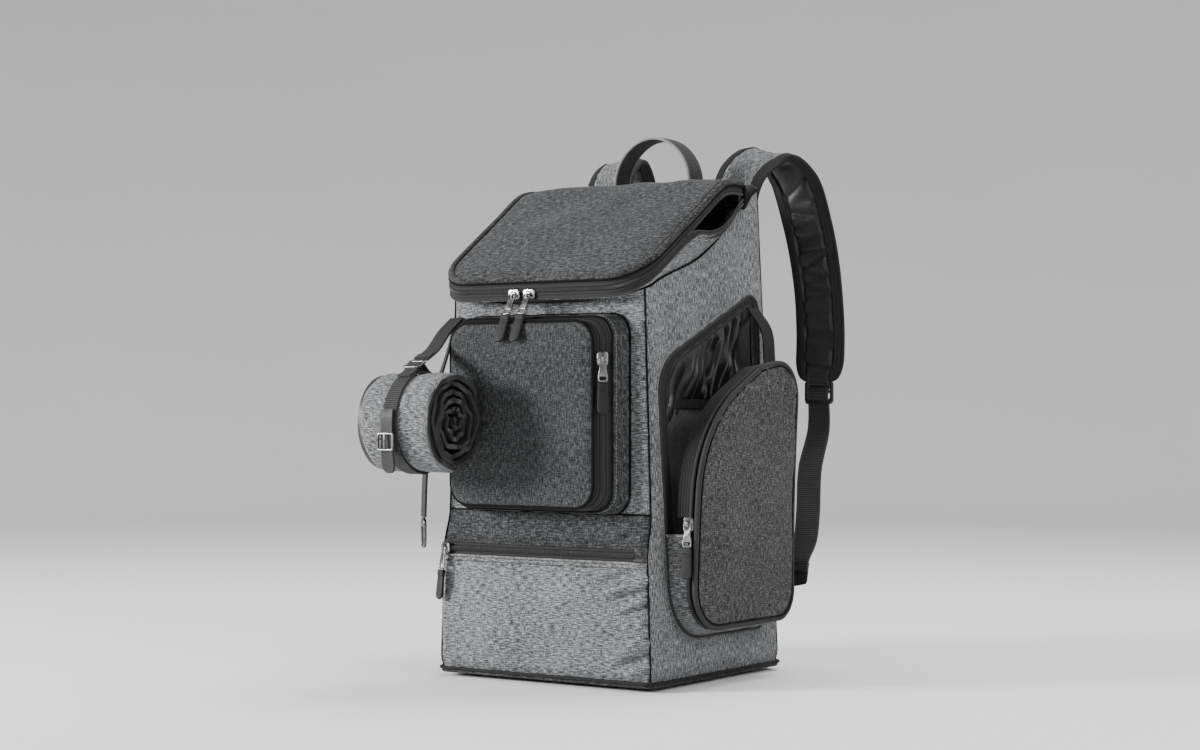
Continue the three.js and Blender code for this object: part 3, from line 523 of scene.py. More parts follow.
class Shader:
    """A material's node tree while it is made."""

    def __init__(self, name: str) -> None:
        """Starts an empty material."""
        self.material = bpy.data.materials.new(name)
        self.material.use_nodes = True
        self.tree = self.material.node_tree
        self.tree.nodes.clear()

    def node(
        self, kind: str, settings: dict[str, Any] | None = None, sockets: dict[int | str, Any] | None = None,
        output: int | str = 0,
    ) -> Val:
        """Adds a node.

        Args:
            kind: The node's type.
            settings: Its settings, which are set first; stops are a colour ramp's rows.
            sockets: Values or links for its inputs.
            output: Which output comes back.

        Returns:
            The output as a value.
        """
        made = self.tree.nodes.new(kind)
        for key, value in (settings or {}).items():
            if key == "stops":
                ramp = made.color_ramp.elements
                while len(ramp) < len(value):
                    ramp.new(1.0)
                for stop, (place, colour) in zip(ramp, value):
                    stop.position = place
                    stop.color = (*colour, 1.0)
            else:
                setattr(made, key, value)
        for key, value in (sockets or {}).items():
            if isinstance(value, Val):
                self.tree.links.new(value.socket, made.inputs[key])
            else:
                made.inputs[key].default_value = value
        return Val(self, made.outputs[output] if made.outputs else None)

    def place(self, coords: Coords) -> Val:
        """The place that the finish reads."""
        return self.node("ShaderNodeTexCoord", output=coords.value)

    def axes(self, place: Val) -> tuple[Val, Val]:
        """A place's first and second direction."""
        return tuple(self.node("ShaderNodeSeparateXYZ", None, {0: place}, which) for which in "XY")

    def scaled(self, place: Val, size: Row) -> Val:
        """A place counted in the given sizes in metres along each direction."""
        scale = [1.0 / s for s in (*size, size[-1], size[-1])[:3]]
        return self.node("ShaderNodeMapping", None, {"Vector": place, "Scale": scale})

    def noise(self, place: Val, size: Row, detail: float = 2.0, rough: float = 0.55) -> Val:
        """Clouds of the given size in metres along each direction."""
        sockets = {"Vector": self.scaled(place, size), "Scale": 1.0, "Detail": detail, "Roughness": rough}
        return self.node("ShaderNodeTexNoise", None, sockets)

    def finish(
        self, colour: Val, rough: Val | float, height: Val | None = None, relief: float = 0.0003,
        strength: float = 0.5, **constants: Any,
    ) -> Material:
        """Closes the material.

        Args:
            colour: The surface colour.
            rough: The roughness.
            height: The relief, from 0 to 1.
            relief: The relief's real height in metres.
            strength: How much of the relief shows.
            constants: Values for the shader's own sockets, with _ for spaces.

        Returns:
            The finished material.
        """
        sockets: dict[int | str, Any] = {"Base Color": colour, "Roughness": rough}
        sockets.update({key.replace("_", " "): value for key, value in constants.items()})
        if height is not None:
            inputs = {"Strength": strength, "Distance": relief, "Height": height}
            sockets["Normal"] = self.node("ShaderNodeBump", None, inputs)
        surface = self.node("ShaderNodeBsdfPrincipled", None, sockets)
        self.node("ShaderNodeOutputMaterial", None, {"Surface": surface})
        return self.material


@dataclass(frozen=True)
class Finish:
    """A finish that runs through a few greys, from dark to pale, made warmer or, below 0, cooler."""

    name: str
    tones: Row
    slot: Slot | None = None
    warm: float = 0.0

    def colour(self, shader: Shader, value: Val, *places: float) -> Val:
        """The tones as a colour, each at its place along a value."""
        stops = [(at, (t * (1.0 + self.warm), t, t * (1.0 - self.warm))) for at, t in zip(places, self.tones)]
        return shader.node("ShaderNodeValToRGB", {"stops": stops}, {0: value})


@dataclass(frozen=True)
class Heather(Finish):
    """Melange cloth: pale and dark yarns whose flecks lie along one direction."""

    length: float = 0.007
    height: float = 0.0009
    is_upright: bool = False
    cross: float = 0.3
    coords: Coords = Coords.CLOTH

    def material(self) -> Material:
        """The finished material."""
        shader = Shader(self.name)
        place = shader.place(self.coords)
        size = (self.height, self.length) if self.is_upright else (self.length, self.height)
        if self.coords is Coords.PLACE:
            size = (self.length, *size)
        fleck = shader.noise(place, size, 3.0, 0.62)
        yarn = shader.noise(place, tuple(0.8 * s for s in reversed(size)), 2.0, 0.6)
        cloud = shader.noise(shader.place(Coords.PLACE), (0.06,))
        tone = fleck * (0.94 - self.cross) + yarn * self.cross + cloud * 0.06
        colour = self.colour(shader, tone, 0.41, 0.5, 0.59)
        rough = fleck.eased(0.3, 0.7, 0.86, 0.97)
        constants = {"Sheen_Weight": 0.03, "Specular_IOR_Level": 0.15}
        return shader.finish(colour, rough, fleck * 0.6 + yarn * 0.4, 0.0006, 0.55, **constants)


@dataclass(frozen=True)
class Webbing(Finish):
    """Ribbed narrow cloth: ribs across its length and paler selvedges."""

    rib: float = 0.0022
    half_width: float = 0.0125

    def material(self) -> Material:
        """The finished material."""
        shader = Shader(self.name)
        place = shader.place(Coords.CLOTH)
        across, along = shader.axes(place)
        ribs, threads = along.wave(self.rib), across.wave(0.0011)
        speck = shader.noise(place, (0.0012, 0.0022))
        edge = across.size().eased(self.half_width * 0.8, self.half_width * 0.95)
        colour = self.colour(shader, ribs * 0.45 + threads * 0.15 + speck * 0.4 + edge * 0.3, 0.2, 0.85)
        rough = ribs.eased(0.0, 1.0, 0.9, 0.72)
        return shader.finish(colour, rough, ribs * 0.7 + threads * 0.3, 0.0006, 0.7, Specular_IOR_Level=0.25)


@dataclass(frozen=True)
class ZipTape(Finish):
    """Woven zip tape with ridges along its length."""

    ridge: float = 0.0031

    def material(self) -> Material:
        """The finished material."""
        shader = Shader(self.name)
        place = shader.place(Coords.CLOTH)
        along, across = shader.axes(place)
        ridges, weave = across.wave(self.ridge), (along + across).wave(0.0013)
        speck = shader.noise(place, (0.0016, 0.0009))
        colour = self.colour(shader, ridges * 0.5 + weave * 0.15 + speck * 0.35, 0.15, 0.85)
        rough = speck.eased(0.3, 0.7, 0.72, 0.9)
        return shader.finish(colour, rough, ridges * 0.8 + weave * 0.2, 0.0007, 0.7, Specular_IOR_Level=0.25)


@dataclass(frozen=True)
class SoftTrim(Finish):
    """Small cloth trim such as piping, thread and coil: a fine speckle over one colour."""

    grain: float = 0.0012
    rough: tuple[float, float] = (0.7, 0.92)
    gloss: float = 0.2

    def material(self) -> Material:
        """The finished material."""
        shader = Shader(self.name)
        place = shader.place(Coords.PLACE)
        speck = shader.noise(place, (self.grain,), 3.0, 0.6)
        colour = self.colour(shader, speck * 0.8 + shader.noise(place, (0.03,)) * 0.2, 0.32, 0.68)
        rough = speck.eased(0.3, 0.7, *self.rough)
        return shader.finish(colour, rough, speck, Specular_IOR_Level=self.gloss)


@dataclass(frozen=True)
class Lining(Finish):
    """Thin slippery black cloth with a fine crossed weave."""

    def material(self) -> Material:
        """The finished material."""
        shader = Shader(self.name)
        place = shader.place(Coords.PLACE)
        broad = shader.noise(place, (0.018, 0.018, 0.03), 3.0)
        tone = shader.noise(place, (0.0009,)) * 0.4 + broad * 0.6
        colour = self.colour(shader, tone, 0.35, 0.65)
        return shader.finish(colour, broad.eased(0.3, 0.7, 0.3, 0.46), tone, 0.0008, 0.4)


@dataclass(frozen=True)
class Net(Finish):
    """Open knitted net: threads round small holes."""

    cell: float = 0.0042

    def material(self) -> Material:
        """The finished material."""
        shader = Shader(self.name)
        place = shader.place(Coords.CLOTH)
        u, v = shader.axes(place)
        turn = math.pi / self.cell
        first, second = (((way * turn).sine().size()).eased(0.32, 0.5) for way in (u + v, u - v))
        hole = first * second
        speck = shader.noise(place, (0.0015,))
        colour = self.colour(shader, speck, 0.35, 0.65)
        rough = speck.eased(0.3, 0.7, 0.6, 0.8)
        return shader.finish(colour, rough, 1.0 - hole, 0.0004, 0.4, Alpha=1.0 - hole * 0.92)


@dataclass(frozen=True)
class Metal(Finish):
    """Polished plated metal with faint handling marks."""

    rough: tuple[float, float] = (0.18, 0.34)

    def material(self) -> Material:
        """The finished material."""
        shader = Shader(self.name)
        place = shader.place(Coords.PLACE)
        smear = shader.noise(place, (0.006, 0.006, 0.012), 4.0, 0.6)
        fine = shader.noise(place, (0.0008, 0.0008, 0.0025))
        colour = self.colour(shader, smear, 0.35, 0.65)
        return shader.finish(colour, smear.eased(0.3, 0.7, *self.rough), fine, 0.00006, 0.3, Metallic=1.0)


@dataclass(frozen=True)
class Moulded(Finish):
    """Matt moulded rubber, leather or plastic with a fine grain."""

    grain: float = 0.0011
    rough: tuple[float, float] = (0.52, 0.72)

    def material(self) -> Material:
        """The finished material."""
        shader = Shader(self.name)
        place = shader.place(Coords.PLACE)
        grain = {"Vector": shader.scaled(place, (self.grain,)), "Scale": 1.0}
        cells = shader.node("ShaderNodeTexVoronoi", None, grain)
        wear = shader.noise(place, (0.012,), 3.0)
        colour = self.colour(shader, cells * 0.3 + wear * 0.7, 0.3, 0.7)
        rough = wear.eased(0.3, 0.7, *self.rough)
        return shader.finish(colour, rough, cells, 0.0002, 0.45, Specular_IOR_Level=0.25)


@dataclass(frozen=True)
class Paper(Finish):
    """The studio's plain pale floor."""

    def material(self) -> Material:
        """The finished material."""
        shader = Shader(self.name)
        cloud = shader.noise(shader.place(Coords.PLACE), (0.5,))
        return shader.finish(self.colour(shader, cloud, 0.3, 0.7), 0.9)


class Cloth(Enum):
    """The bag's finishes, each made once."""

    LIGHT = Heather("light_heather", (0.026, 0.106, 0.31), Slot.LIGHT, -0.03)
    LIGHT_SIDE = Heather("light_heather_side", (0.027, 0.104, 0.29), Slot.LIGHT, -0.03, is_upright=True)
    LIGHT_TRIM = Heather(
        "light_heather_trim", (0.07, 0.14, 0.25), Slot.LIGHT, 0.0, 0.003, 0.0015, coords=Coords.PLACE
    )
    DARK = Heather("dark_heather", (0.0085, 0.029, 0.094), Slot.DARK, -0.04, 0.0072, 0.0013, cross=0.4)
    POCKET = Heather("pocket_heather", (0.0105, 0.03, 0.08), Slot.DARK, -0.04, 0.0066, 0.0012, True, 0.38)
    # A paler copy of the dark heather: partly painted light, for the light that falls on the door, and partly
    # the door's own paler tone.
    DOOR = Heather("door_heather_partly_lit", (0.013, 0.041, 0.115), Slot.DARK, 0.0, 0.0066, 0.0013, True, 0.42)
    DARK_TRIM = Heather(
        "dark_heather_trim", (0.0095, 0.027, 0.074), Slot.DARK, 0.0, 0.003, 0.0014, coords=Coords.PLACE
    )
    # Near-black seam cords: partly the bag's real dark seams and piping, partly painted shade for the
    # shadowed crevices along the seams, under the lid and round the pockets.
    SEAM = SoftTrim("black_seam", (0.0015, 0.005), Slot.DARK, gloss=0.1)
    TEETH = SoftTrim("open_teeth", (0.02, 0.07), Slot.TAPE, grain=0.0008, rough=(0.4, 0.6))
    TAPE = ZipTape("ridged_tape", (0.006, 0.026), Slot.TAPE)
    COIL = SoftTrim("zip_coil", (0.008, 0.03), Slot.TAPE, rough=(0.35, 0.55), gloss=0.4)
    PIPING = SoftTrim("piping", (0.014, 0.04), Slot.DARK)
    # A slightly paler copy of the piping: painted highlight for the light that the door's edges catch.
    DOOR_PIPING = SoftTrim("door_piping_painted_highlight", (0.014, 0.042), Slot.DARK)
    PALE_EDGE = SoftTrim("pale_edge", (0.14, 0.28), Slot.WEB)
    WEB = Webbing("ribbed_webbing", (0.009, 0.05), Slot.WEB)
    QUILT = SoftTrim("strap_underside", (0.012, 0.034), Slot.WEB, grain=0.0016, rough=(0.4, 0.55), gloss=0.35)
    BINDING = SoftTrim("binding", (0.006, 0.021), Slot.WEB, grain=0.0011)
    THREAD_DARK = SoftTrim("dark_thread", (0.02, 0.05), Slot.DARK, grain=0.0008)
    THREAD_PALE = SoftTrim("pale_thread", (0.16, 0.3), Slot.DARK, grain=0.0008)
    LINING = Lining("black_lining", (0.007, 0.018), Slot.LINING)
    NET = Net("black_net", (0.09, 0.18), Slot.LINING)
    STEEL = Metal("polished_steel", (0.14, 0.32), Slot.METAL)
    GUNMETAL = Metal("dark_metal", (0.06, 0.16), Slot.METAL, rough=(0.2, 0.36))
    RUBBER = Moulded("grained_rubber", (0.006, 0.016), Slot.RUBBER)
    LEATHER = Moulded("grained_leather", (0.009, 0.026), Slot.RUBBER, 0.06, 0.0016, (0.5, 0.68))
    PLASTIC = Moulded("buckle_plastic", (0.01, 0.026), Slot.PLASTIC, 0.0, 0.0009, (0.32, 0.5))

    def material(self) -> Material:
        """The finish's material, made on first use."""
        return bpy.data.materials.get(self.value.name) or self.value.material()


# Dressed pieces


def dress(made: Object, cloth: Cloth, *nodes: str, slot: Slot | None = None, body: str = BAG) -> Object:
    """Gives a piece its finish and ties it to a body.

    Args:
        made: The piece.
        cloth: Its finish.
        nodes: The plain solids that the piece stands for.
        slot: Not used; the record's slot that it would belong to, if not the finish's own.
        body: The body that it moves with.

    Returns:
        The piece.
    """
    made.data.materials.clear()
    made.data.materials.append(cloth.material())
    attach(made, body)
    if nodes:
        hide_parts(*nodes)
    LOG.info("%s: %d faces, %s", made.name, len(made.data.polygons), cloth.value.name)
    return made


def sheet(
    name: str, points: Array, thick: float, cloth: Cloth, *nodes: str, inside: Any = None,
    uv: Array | None = None, closed: bool = False, offset: float = -1.0, slot: Slot | None = None,
) -> Object:
    """A cloth sheet through a table of points.

    Args:
        name: The piece's name.
        points: Columns by rows of points, in bag millimetres.
        thick: Thickness of the cloth, in millimetres.
        cloth: Its finish.
        nodes: The plain solids that it stands for.
        inside: A point behind the cloth, so that its face turns away from it.
        uv: Each point's place on the cloth in millimetres, or lengths along the sheet if not given.
        closed: Whether the last column meets the first one.
        offset: Where the thickness lies: -1 behind the points, 0 to both sides.
        slot: Its slot, if not the finish's own.

    Returns:
        The dressed sheet.
    """
    if closed:
        points = np.concatenate([points, points[:1]])
    if uv is None:
        uv = np.zeros((*points.shape[:2], 2))
        uv[1:, :, 0] = np.cumsum(np.linalg.norm(np.diff(points, axis=0), axis=2), axis=0)
        uv[:, 1:, 1] = np.cumsum(np.linalg.norm(np.diff(points, axis=1), axis=2), axis=1)
    elif closed:
        uv = np.concatenate([uv, uv[:1]])
    if inside is not None and not faces_along(points, points - np.asarray(inside, float)):
        points, uv = points[:, ::-1], uv[:, ::-1]
    columns, rows = points.shape[:2]
    clear()
    bpy.ops.mesh.primitive_grid_add(x_subdivisions=columns - 1, y_subdivisions=rows - 1, size=1.0)
    made = named(name)
    put_points(made, placed(points.transpose(1, 0, 2).reshape(-1, 3)))
    put_uv(made, uv.transpose(1, 0, 2).reshape(-1, 2) * MM)
    if closed:
        edit(made, ("remove_doubles", {"threshold": 1e-6}))
    modify(made, "SOLIDIFY", thickness=thick * MM, offset=offset, use_quality_normals=True)
    shade(made)
    return dress(made, cloth, *nodes, slot=slot)


def ribbon(
    name: str, line: Array, sides: Any, width: Any, thick: float, cloth: Cloth, *nodes: str, columns: int = 7,
    crown: float = 0.0, slot: Slot | None = None,
) -> Object:
    """A flat strap along a line.

    Args:
        name: The piece's name.
        line: The strap's middle line, in bag millimetres.
        sides: The direction of its width, or its direction at each point.
        width: Its width, or its width at each point.
        thick: Its thickness.
        cloth: Its finish.
        nodes: The plain solids that it stands for.
        columns: Points across the strap.
        crown: How far its middle stands out.
        slot: Its slot, if not the finish's own.

    Returns:
        The dressed strap, with its length along the cloth's second direction.
    """
    along = tangents(line)
    side = square_to(along, np.broadcast_to(sides, line.shape))
    across = np.linspace(-0.5, 0.5, columns)
    widths = np.broadcast_to(np.asarray(width, float), len(line))
    points = line[None] + across[:, None, None] * widths[None, :, None] * side[None]
    points = points + (crown * (1.0 - 4.0 * across**2))[:, None, None] * np.cross(along, side)[None]
    uv = table(across[:, None] * widths[None], lengths(line)[None])
    return sheet(name, points, thick, cloth, *nodes, uv=uv, offset=0.0, slot=slot)


def cord(
    name: str, line: Array, radius: float, cloth: Cloth, closed: bool = False, sides: int = 2,
    slot: Slot | None = None,
) -> None:
    """A round roll of cloth along a line, as piping or a rolled edge.

    Args:
        name: The piece's name.
        line: The roll's middle line, in bag millimetres.
        radius: Its radius, in millimetres.
        cloth: Its finish.
        closed: Whether it runs back to its start.
        sides: How finely its section is rounded.
        slot: Its slot, if not the finish's own.
    """
    curve = bpy.data.curves.new(name, "CURVE")
    curve.dimensions = "3D"
    curve.bevel_depth = radius * MM
    curve.bevel_resolution = sides
    curve.use_fill_caps = not closed
    spline = curve.splines.new("POLY")
    spline.points.add(len(line) - 1)
    spline.points.foreach_set("co", np.column_stack([placed(line), np.ones(len(line))]).ravel())
    spline.use_cyclic_u = closed
    pick(linked(name, curve))
    bpy.ops.object.convert(target="MESH")
    made = named(name)
    shade(made, 60.0)
    dress(made, cloth, slot=slot)


def row_of(
    name: str, line: Array, normals: Any, pitch: float, element: Object, cloth: Cloth, closed: bool = False,
    across: bool = False, slot: Slot | None = None,
) -> None:
    """Copies of a small element at an even pitch along a line, joined into one piece.

    Args:
        name: The piece's name.
        line: The line, in bag millimetres.
        normals: The direction away from the cloth, or its direction at each point.
        pitch: The distance between copies.
        element: The element, along X in millimetres about the origin, which is removed.
        cloth: The finish.
        closed: Whether the line is closed.
        across: Whether the element lies across the line and not along it.
        slot: The slot, if not the finish's own.
    """
    whole = lengths(np.vstack([line, line[:1]]) if closed else line)[-1]
    count = max(2, round(whole / pitch))
    both = spaced(np.hstack([line, np.broadcast_to(normals, line.shape)]), count, closed)
    along = tangents(both[:, :3], closed)
    up = square_to(along, both[:, 3:])
    side = np.cross(up, along)
    axes = np.stack([side, -along, up] if across else [along, side, up], axis=1)
    corner = np.array([vertex.co[:] for vertex in element.data.vertices])
    faces = [tuple(polygon.vertices) for polygon in element.data.polygons]
    points = both[:, None, :3] + np.einsum("kc,ncd->nkd", corner, axes)
    every = [tuple(i * len(corner) + k for k in face) for i in range(len(both)) for face in faces]
    joined = bpy.data.meshes.new(name)
    joined.from_pydata(placed(points.reshape(-1, 3)).tolist(), [], every)
    made = linked(name, joined)
    drop(element)
    shade(made, 70.0)
    dress(made, cloth, slot=slot)


def stitches(
    name: str, line: Array, normals: Any, cloth: Cloth, closed: bool = False, pitch: float = 3.6,
    slot: Slot | None = None,
) -> None:
    """A row of sewn stitches along a line on the cloth."""
    row_of(name, line, normals, pitch, bead(pitch * 0.72, 0.36), cloth, closed, slot=slot)


def coil(
    name: str, line: Array, normals: Any, width: float, closed: bool = False, cloth: Cloth = Cloth.COIL
) -> None:
    """A zip's coil along a line, with its turns lying across."""
    row_of(name, line, normals, 1.5, bead(width, 0.62, 0.9), cloth, closed, True)


def fitting(
    name: str, parts: Sequence[Object], home: Matrix, cloth: Cloth, *nodes: str, degrees: float = 40.0,
    slot: Slot | None = None, body: str = BAG,
) -> None:
    """Hard parts made in millimetres about the origin, joined into one piece on the bag.

    Args:
        name: The piece's name.
        parts: Its parts.
        home: Its place on the bag.
        cloth: Its finish.
        nodes: The plain solids that it stands for.
        degrees: The angle from which its edges look sharp.
        slot: Its slot, if not the finish's own.
        body: The body that it moves with.
    """
    pick(parts[0])
    if len(parts) > 1:
        for part in parts[1:]:
            part.select_set(True)
        bpy.ops.object.join()
    made = named(name)
    edit(made, ("normals_make_consistent", {"inside": False}))
    shade(made, degrees)
    made.data.transform(Matrix.Translation(SHIFT.tolist()) @ Matrix.Scale(MM, 4) @ home)
    dress(made, cloth, *nodes, slot=slot, body=body)


# The bag's sub-assemblies


class Side(Enum):
    """The body's sides, each from the middle of one corner to the next, with the direction it faces."""

    FRONT = (-1, -1, 1, -1, 270)
    RIGHT = (1, -1, 1, 1, 0)
    BACK = (1, 1, -1, 1, 90)
    LEFT = (-1, 1, -1, -1, 180)


@dataclass(frozen=True)
class BodyShape:
    """The soft body's outer shape, in millimetres from the middle of its base."""

    base_top: float = 8.0
    base_half_width: float = 130.0
    base_front: float = -122.0
    base_back: float = 122.0
    half_width: float = 118.0
    mouth_z: float = 380.0
    front: float = -114.0
    back: float = 106.0
    back_z: float = 498.0
    corner: float = 12.0
    round_share: float = 0.1
    lower_top: float = 167.5
    seam: float = 1.5
    cloth: float = 2.4
    slope: float = 0.53
    slope_y: float = -116.0
    slope_z: float = 381.0
    dip_z: float = 373.0
    sag: float = 16.0

    def half_at(self, z: Any) -> Any:
        """Half the body's width at a height."""
        share = (z - self.base_top) / (self.mouth_z - self.base_top)
        return lerp(self.base_half_width, self.half_width, share)

    def front_at(self, z: Any) -> Any:
        """Where the front is at a height."""
        return lerp(self.front, self.base_front, smoothstep(self.lower_top - z, 0.0, 40.0))

    def back_at(self, z: Any) -> Any:
        """Where the back is at a height."""
        return lerp(self.base_back, self.back, (z - self.base_top) / (self.back_z - self.base_top))

    def slope_at(self, y: Any) -> Any:
        """The height of the mouth's slope along the sides."""
        return self.slope_z + self.slope * (y - self.slope_y)

    def mouth_at(self, x: Any, y: Any) -> Any:
        """The height of the seam at the body's top, which sags on the right, where the lid is unzipped."""
        slope = self.slope_at(y)
        front = lerp(self.dip_z, slope, smoothstep(np.abs(x), 40.0, self.half_width - 4.0))
        seam = np.where(y < self.front + 1.0, front, slope)
        return np.where(x > 0, seam - self.sag * hump(y, -110.0, 100.0), seam)

    def point(self, side: Side, u: Any, z: Any, swell: Any = 0.0) -> Array:
        """A place on the body's outer face.

        Args:
            side: The side.
            u: The share of the way along it; the corners take its first and last tenth.
            z: The height.
            swell: How far the cloth stands out there.

        Returns:
            The points.
        """
        u, z, swell = np.broadcast_arrays(*(np.asarray(v, float) for v in (u, z, swell)))
        x0, y0, x1, y1, facing = side.value
        r, part = self.corner, self.round_share

        def centre(sx: int, sy: int) -> tuple[Array, Array]:
            """The middle of a corner's rounding."""
            return sx * (self.half_at(z) - r), self.front_at(z) + r if sy < 0 else self.back_at(z) - r

        share = np.clip((u - part) / (1.0 - 2.0 * part), 0.0, 1.0)
        (xa, ya), (xb, yb) = centre(x0, y0), centre(x1, y1)
        half = math.radians(45.0) - 0.4 / r / 2.0
        angle = math.radians(facing) - half * np.clip(1.0 - u / part, 0.0, 1.0)
        angle = angle + half * np.clip(1.0 - (1.0 - u) / part, 0.0, 1.0)
        reach = r + swell - 2.6 * (1.0 - smoothstep(z, self.base_top, self.base_top + 13.0))
        x, y = lerp(xa, xb, share), lerp(ya, yb, share)
        return table(x + np.cos(angle) * reach, y + np.sin(angle) * reach, z)

    def seam_at(self, side: Side, u: Array) -> Array:
        """Where the mouth's seam crosses a side."""
        z = np.full(np.shape(u), self.mouth_z)
        for _ in range(6):
            at = self.point(side, u, z)
            z = self.mouth_at(at[..., 0], at[..., 1])
        return z

    def swell(self, u: Any, share: Any, amount: float) -> Any:
        """How far a panel bulges between its edges."""
        return amount * np.sin(np.pi * share) * (1.0 - np.abs(2.0 * u - 1.0) ** 3)

    def panel(
        self, name: str, node: str, side: Side, grid: tuple[int, int], low: float, high: float | None,
        swell: Callable[[Array, Array, Array, Array], Array], cloth: Cloth, thick: float = 2.4,
    ) -> Object:
        """A cloth panel on one side of the body.

        Args:
            name: The piece's name.
            node: The plain solid that it stands for.
            side: The side.
            grid: Its columns and rows of points.
            low: Its lower edge.
            high: Its upper edge, or the mouth's seam if not given.
            swell: Gives how far it stands out, from shares across and up, places across and heights.
            cloth: Its finish.
            thick: Its thickness.

        Returns:
            The dressed panel.
        """
        u = np.linspace(0.0, 1.0, grid[0])[:, None]
        share = np.linspace(0.0, 1.0, grid[1])[None]
        z = lerp(low, self.seam_at(side, u) if high is None else high, share) + 0.0 * u
        across = self.point(side, u, z)[..., 1 if side is Side.LEFT else 0]
        points = self.point(side, u, z, swell(u, share, across, z))
        return sheet(name, points, thick, cloth, node, inside=(0, 0, 200), uv=table(across, z))


SHAPE = BodyShape()


@dataclass
class Body:
    """The standing body: panels, lower pocket, base and feet."""

    zip_top: float = 138.0
    zip_bottom: float = 122.0
    lower_bulge: float = 6.0
    piping: float = 1.5
    foot_radius: float = 9.0
    foot_height: float = 3.6
    foot_x: float = 100.0
    foot_y: float = 92.0
    front_folds: Rows = (
        (58, 360, 114, 370, 3.4, 3.4), (84, 357, 114, 361, 3, -3.6), (100, 344, 116, 358, 3, 3.6),
        (30, 362, 72, 366, 4, -0.8), (-100, 350, -60, 364, 5, -0.8), (108, 330, 116, 200, 4, 1.0),
    )
    band_folds: Rows = (
        (78, 144, 108, 160, 3, 3.0), (86, 142, 112, 152, 2.6, -2.8), (-60, 156, 20, 150, 4, 1.8),
        (-40, 150, 0, 160, 3, -1.8), (-112, 146, -84, 158, 3.4, 2.2),
    )
    lower_folds: Rows = (
        (68, 102, 124, 118, 3.6, -8.0), (80, 95, 124, 109, 5, 5.0), (84, 86, 127, 98, 3.4, -7.0),
        (100, 73, 128, 84, 3.2, -7.0), (40, 62, 112, 76, 13, 5.0), (30, 80, 96, 66, 5, -4.0),
        (88, 22, 127, 35, 3.4, -8.0), (96, 13, 125, 24, 4, 4.0), (88, 34, 125, 48, 6, 5.0),
        (-124, 66, -66, 96, 9, 3.0), (-121, 32, -84, 19, 4, -3.2), (-60, 34, 10, 22, 8, -2.4),
    )

    def build(self) -> None:
        """Makes and dresses the body's pieces."""
        self.front_panel()
        self.lower_pocket()
        self.lower_trim()
        self.left_panel()
        self.back_panel()
        self.base()
        self.feet()
        self.corner_seams()

    def front_panel(self) -> None:
        """The light front above the lower pocket."""

        def swell(_: Array, share: Array, x: Array, z: Array) -> Array:
            """Folds under the lid, and creases beside the pocket."""
            beside = smoothstep(np.abs(x), 98.0, 106.0) * hump(z, 180, 352)
            soft = folded(self.front_folds, x, z) + 0.5 * ripple(x, z, 42.0, 3)
            return (soft + 0.7 * ripple(x * 0.2, z, 9.0, 4) * beside) * np.sin(np.pi * share) ** 0.5

        low = SHAPE.lower_top + 0.4
        SHAPE.panel("front_panel_cloth", "front_panel", Side.FRONT, (140, 120), low, None, swell, Cloth.LIGHT)

    def lower_pocket(self) -> None:
        """The lower pocket: a dark band, its zip and the light panel."""
        for name, node, low, high, bulge, rows, cloth, folds in (
            ("lower_band", "band", self.zip_top - 1.5, SHAPE.lower_top, 3.6, 14, Cloth.DARK, self.band_folds),
            ("lower_tape", "zip", self.zip_bottom + 0.4, self.zip_top, 2.0, 8, Cloth.TAPE, ()),
        ):

            def strip(u: Array, share: Array, x: Array, z: Array) -> Array:
                """A strip that bulges most along its lower edge."""
                flat = SHAPE.swell(u, share * 0.5 + 0.1, bulge) + 0.4 * ripple(x, z, 40.0, 12)
                return flat + folded(folds, x, z)

            SHAPE.panel(name, f"lower_pocket_{node}", Side.FRONT, (160, rows), low, high, strip, cloth, 1.8)

        def swell(u: Array, share: Array, x: Array, z: Array) -> Array:
            """A bulge with strong folds at its right."""
            rise = np.sin(np.pi * share)
            soft = SHAPE.swell(u, share, self.lower_bulge) + folded(self.lower_folds, x, z) * rise**0.4
            return soft + 0.7 * ripple(x, z, 46.0, 8) * rise

        low, high = SHAPE.base_top + 0.4, self.zip_bottom + 1.0
        SHAPE.panel(
            "lower_panel_cloth", "lower_pocket_panel", Side.FRONT, (160, 84), low, high, swell, Cloth.LIGHT
        )

    def lower_trim(self) -> None:
        """The lower zip's coil, end patch, edges and stitch rows."""
        out = (0.0, -1.0, 0.0)
        u = np.linspace(0.07, 0.93, 120)
        middle = (self.zip_top + self.zip_bottom) / 2.0
        coil("lower_coil", SHAPE.point(Side.FRONT, u * 0.955, middle, 3.2), out, 4.2)
        end_u = np.linspace(0.888, 0.995, 20)[:, None]
        end_z = np.linspace(self.zip_bottom + 1.0, self.zip_top - 0.5, 9)[None]
        patch = SHAPE.point(Side.FRONT, end_u, end_z, 2.6)
        sheet("lower_zip_end", patch, 1.4, Cloth.DARK_TRIM, inside=(0, 0, 130))
        whole = np.linspace(0.0, 1.0, 120)
        for name, z, swell, cloth in (
            ("lower_band_hem", self.zip_top - 1.2, 3.0, Cloth.DARK_TRIM),
            ("lower_panel_hem", self.zip_bottom + 0.6, 1.8, Cloth.LIGHT_TRIM),
            # The band's seam cord is near-black: partly a real seam, partly painted shade in the crevice
            # where the band meets the panel.
            ("lower_band_seam", SHAPE.lower_top + 0.4, 1.2, Cloth.SEAM),
        ):
            line = SHAPE.point(Side.FRONT, whole, z, SHAPE.swell(whole, 0.5, swell))
            cord(name, line, self.piping * 0.85, cloth)
        for name, z, swell in (("band", self.zip_top + 4.0, 3.4), ("panel", self.zip_bottom - 4.5, 1.6)):
            line = SHAPE.point(Side.FRONT, u, z, SHAPE.swell(u, 0.5, swell) + 0.6)
            stitches(f"lower_{name}_stitches", line, out, Cloth.THREAD_DARK)

    def left_panel(self) -> None:
        """The light left side, softly creased."""

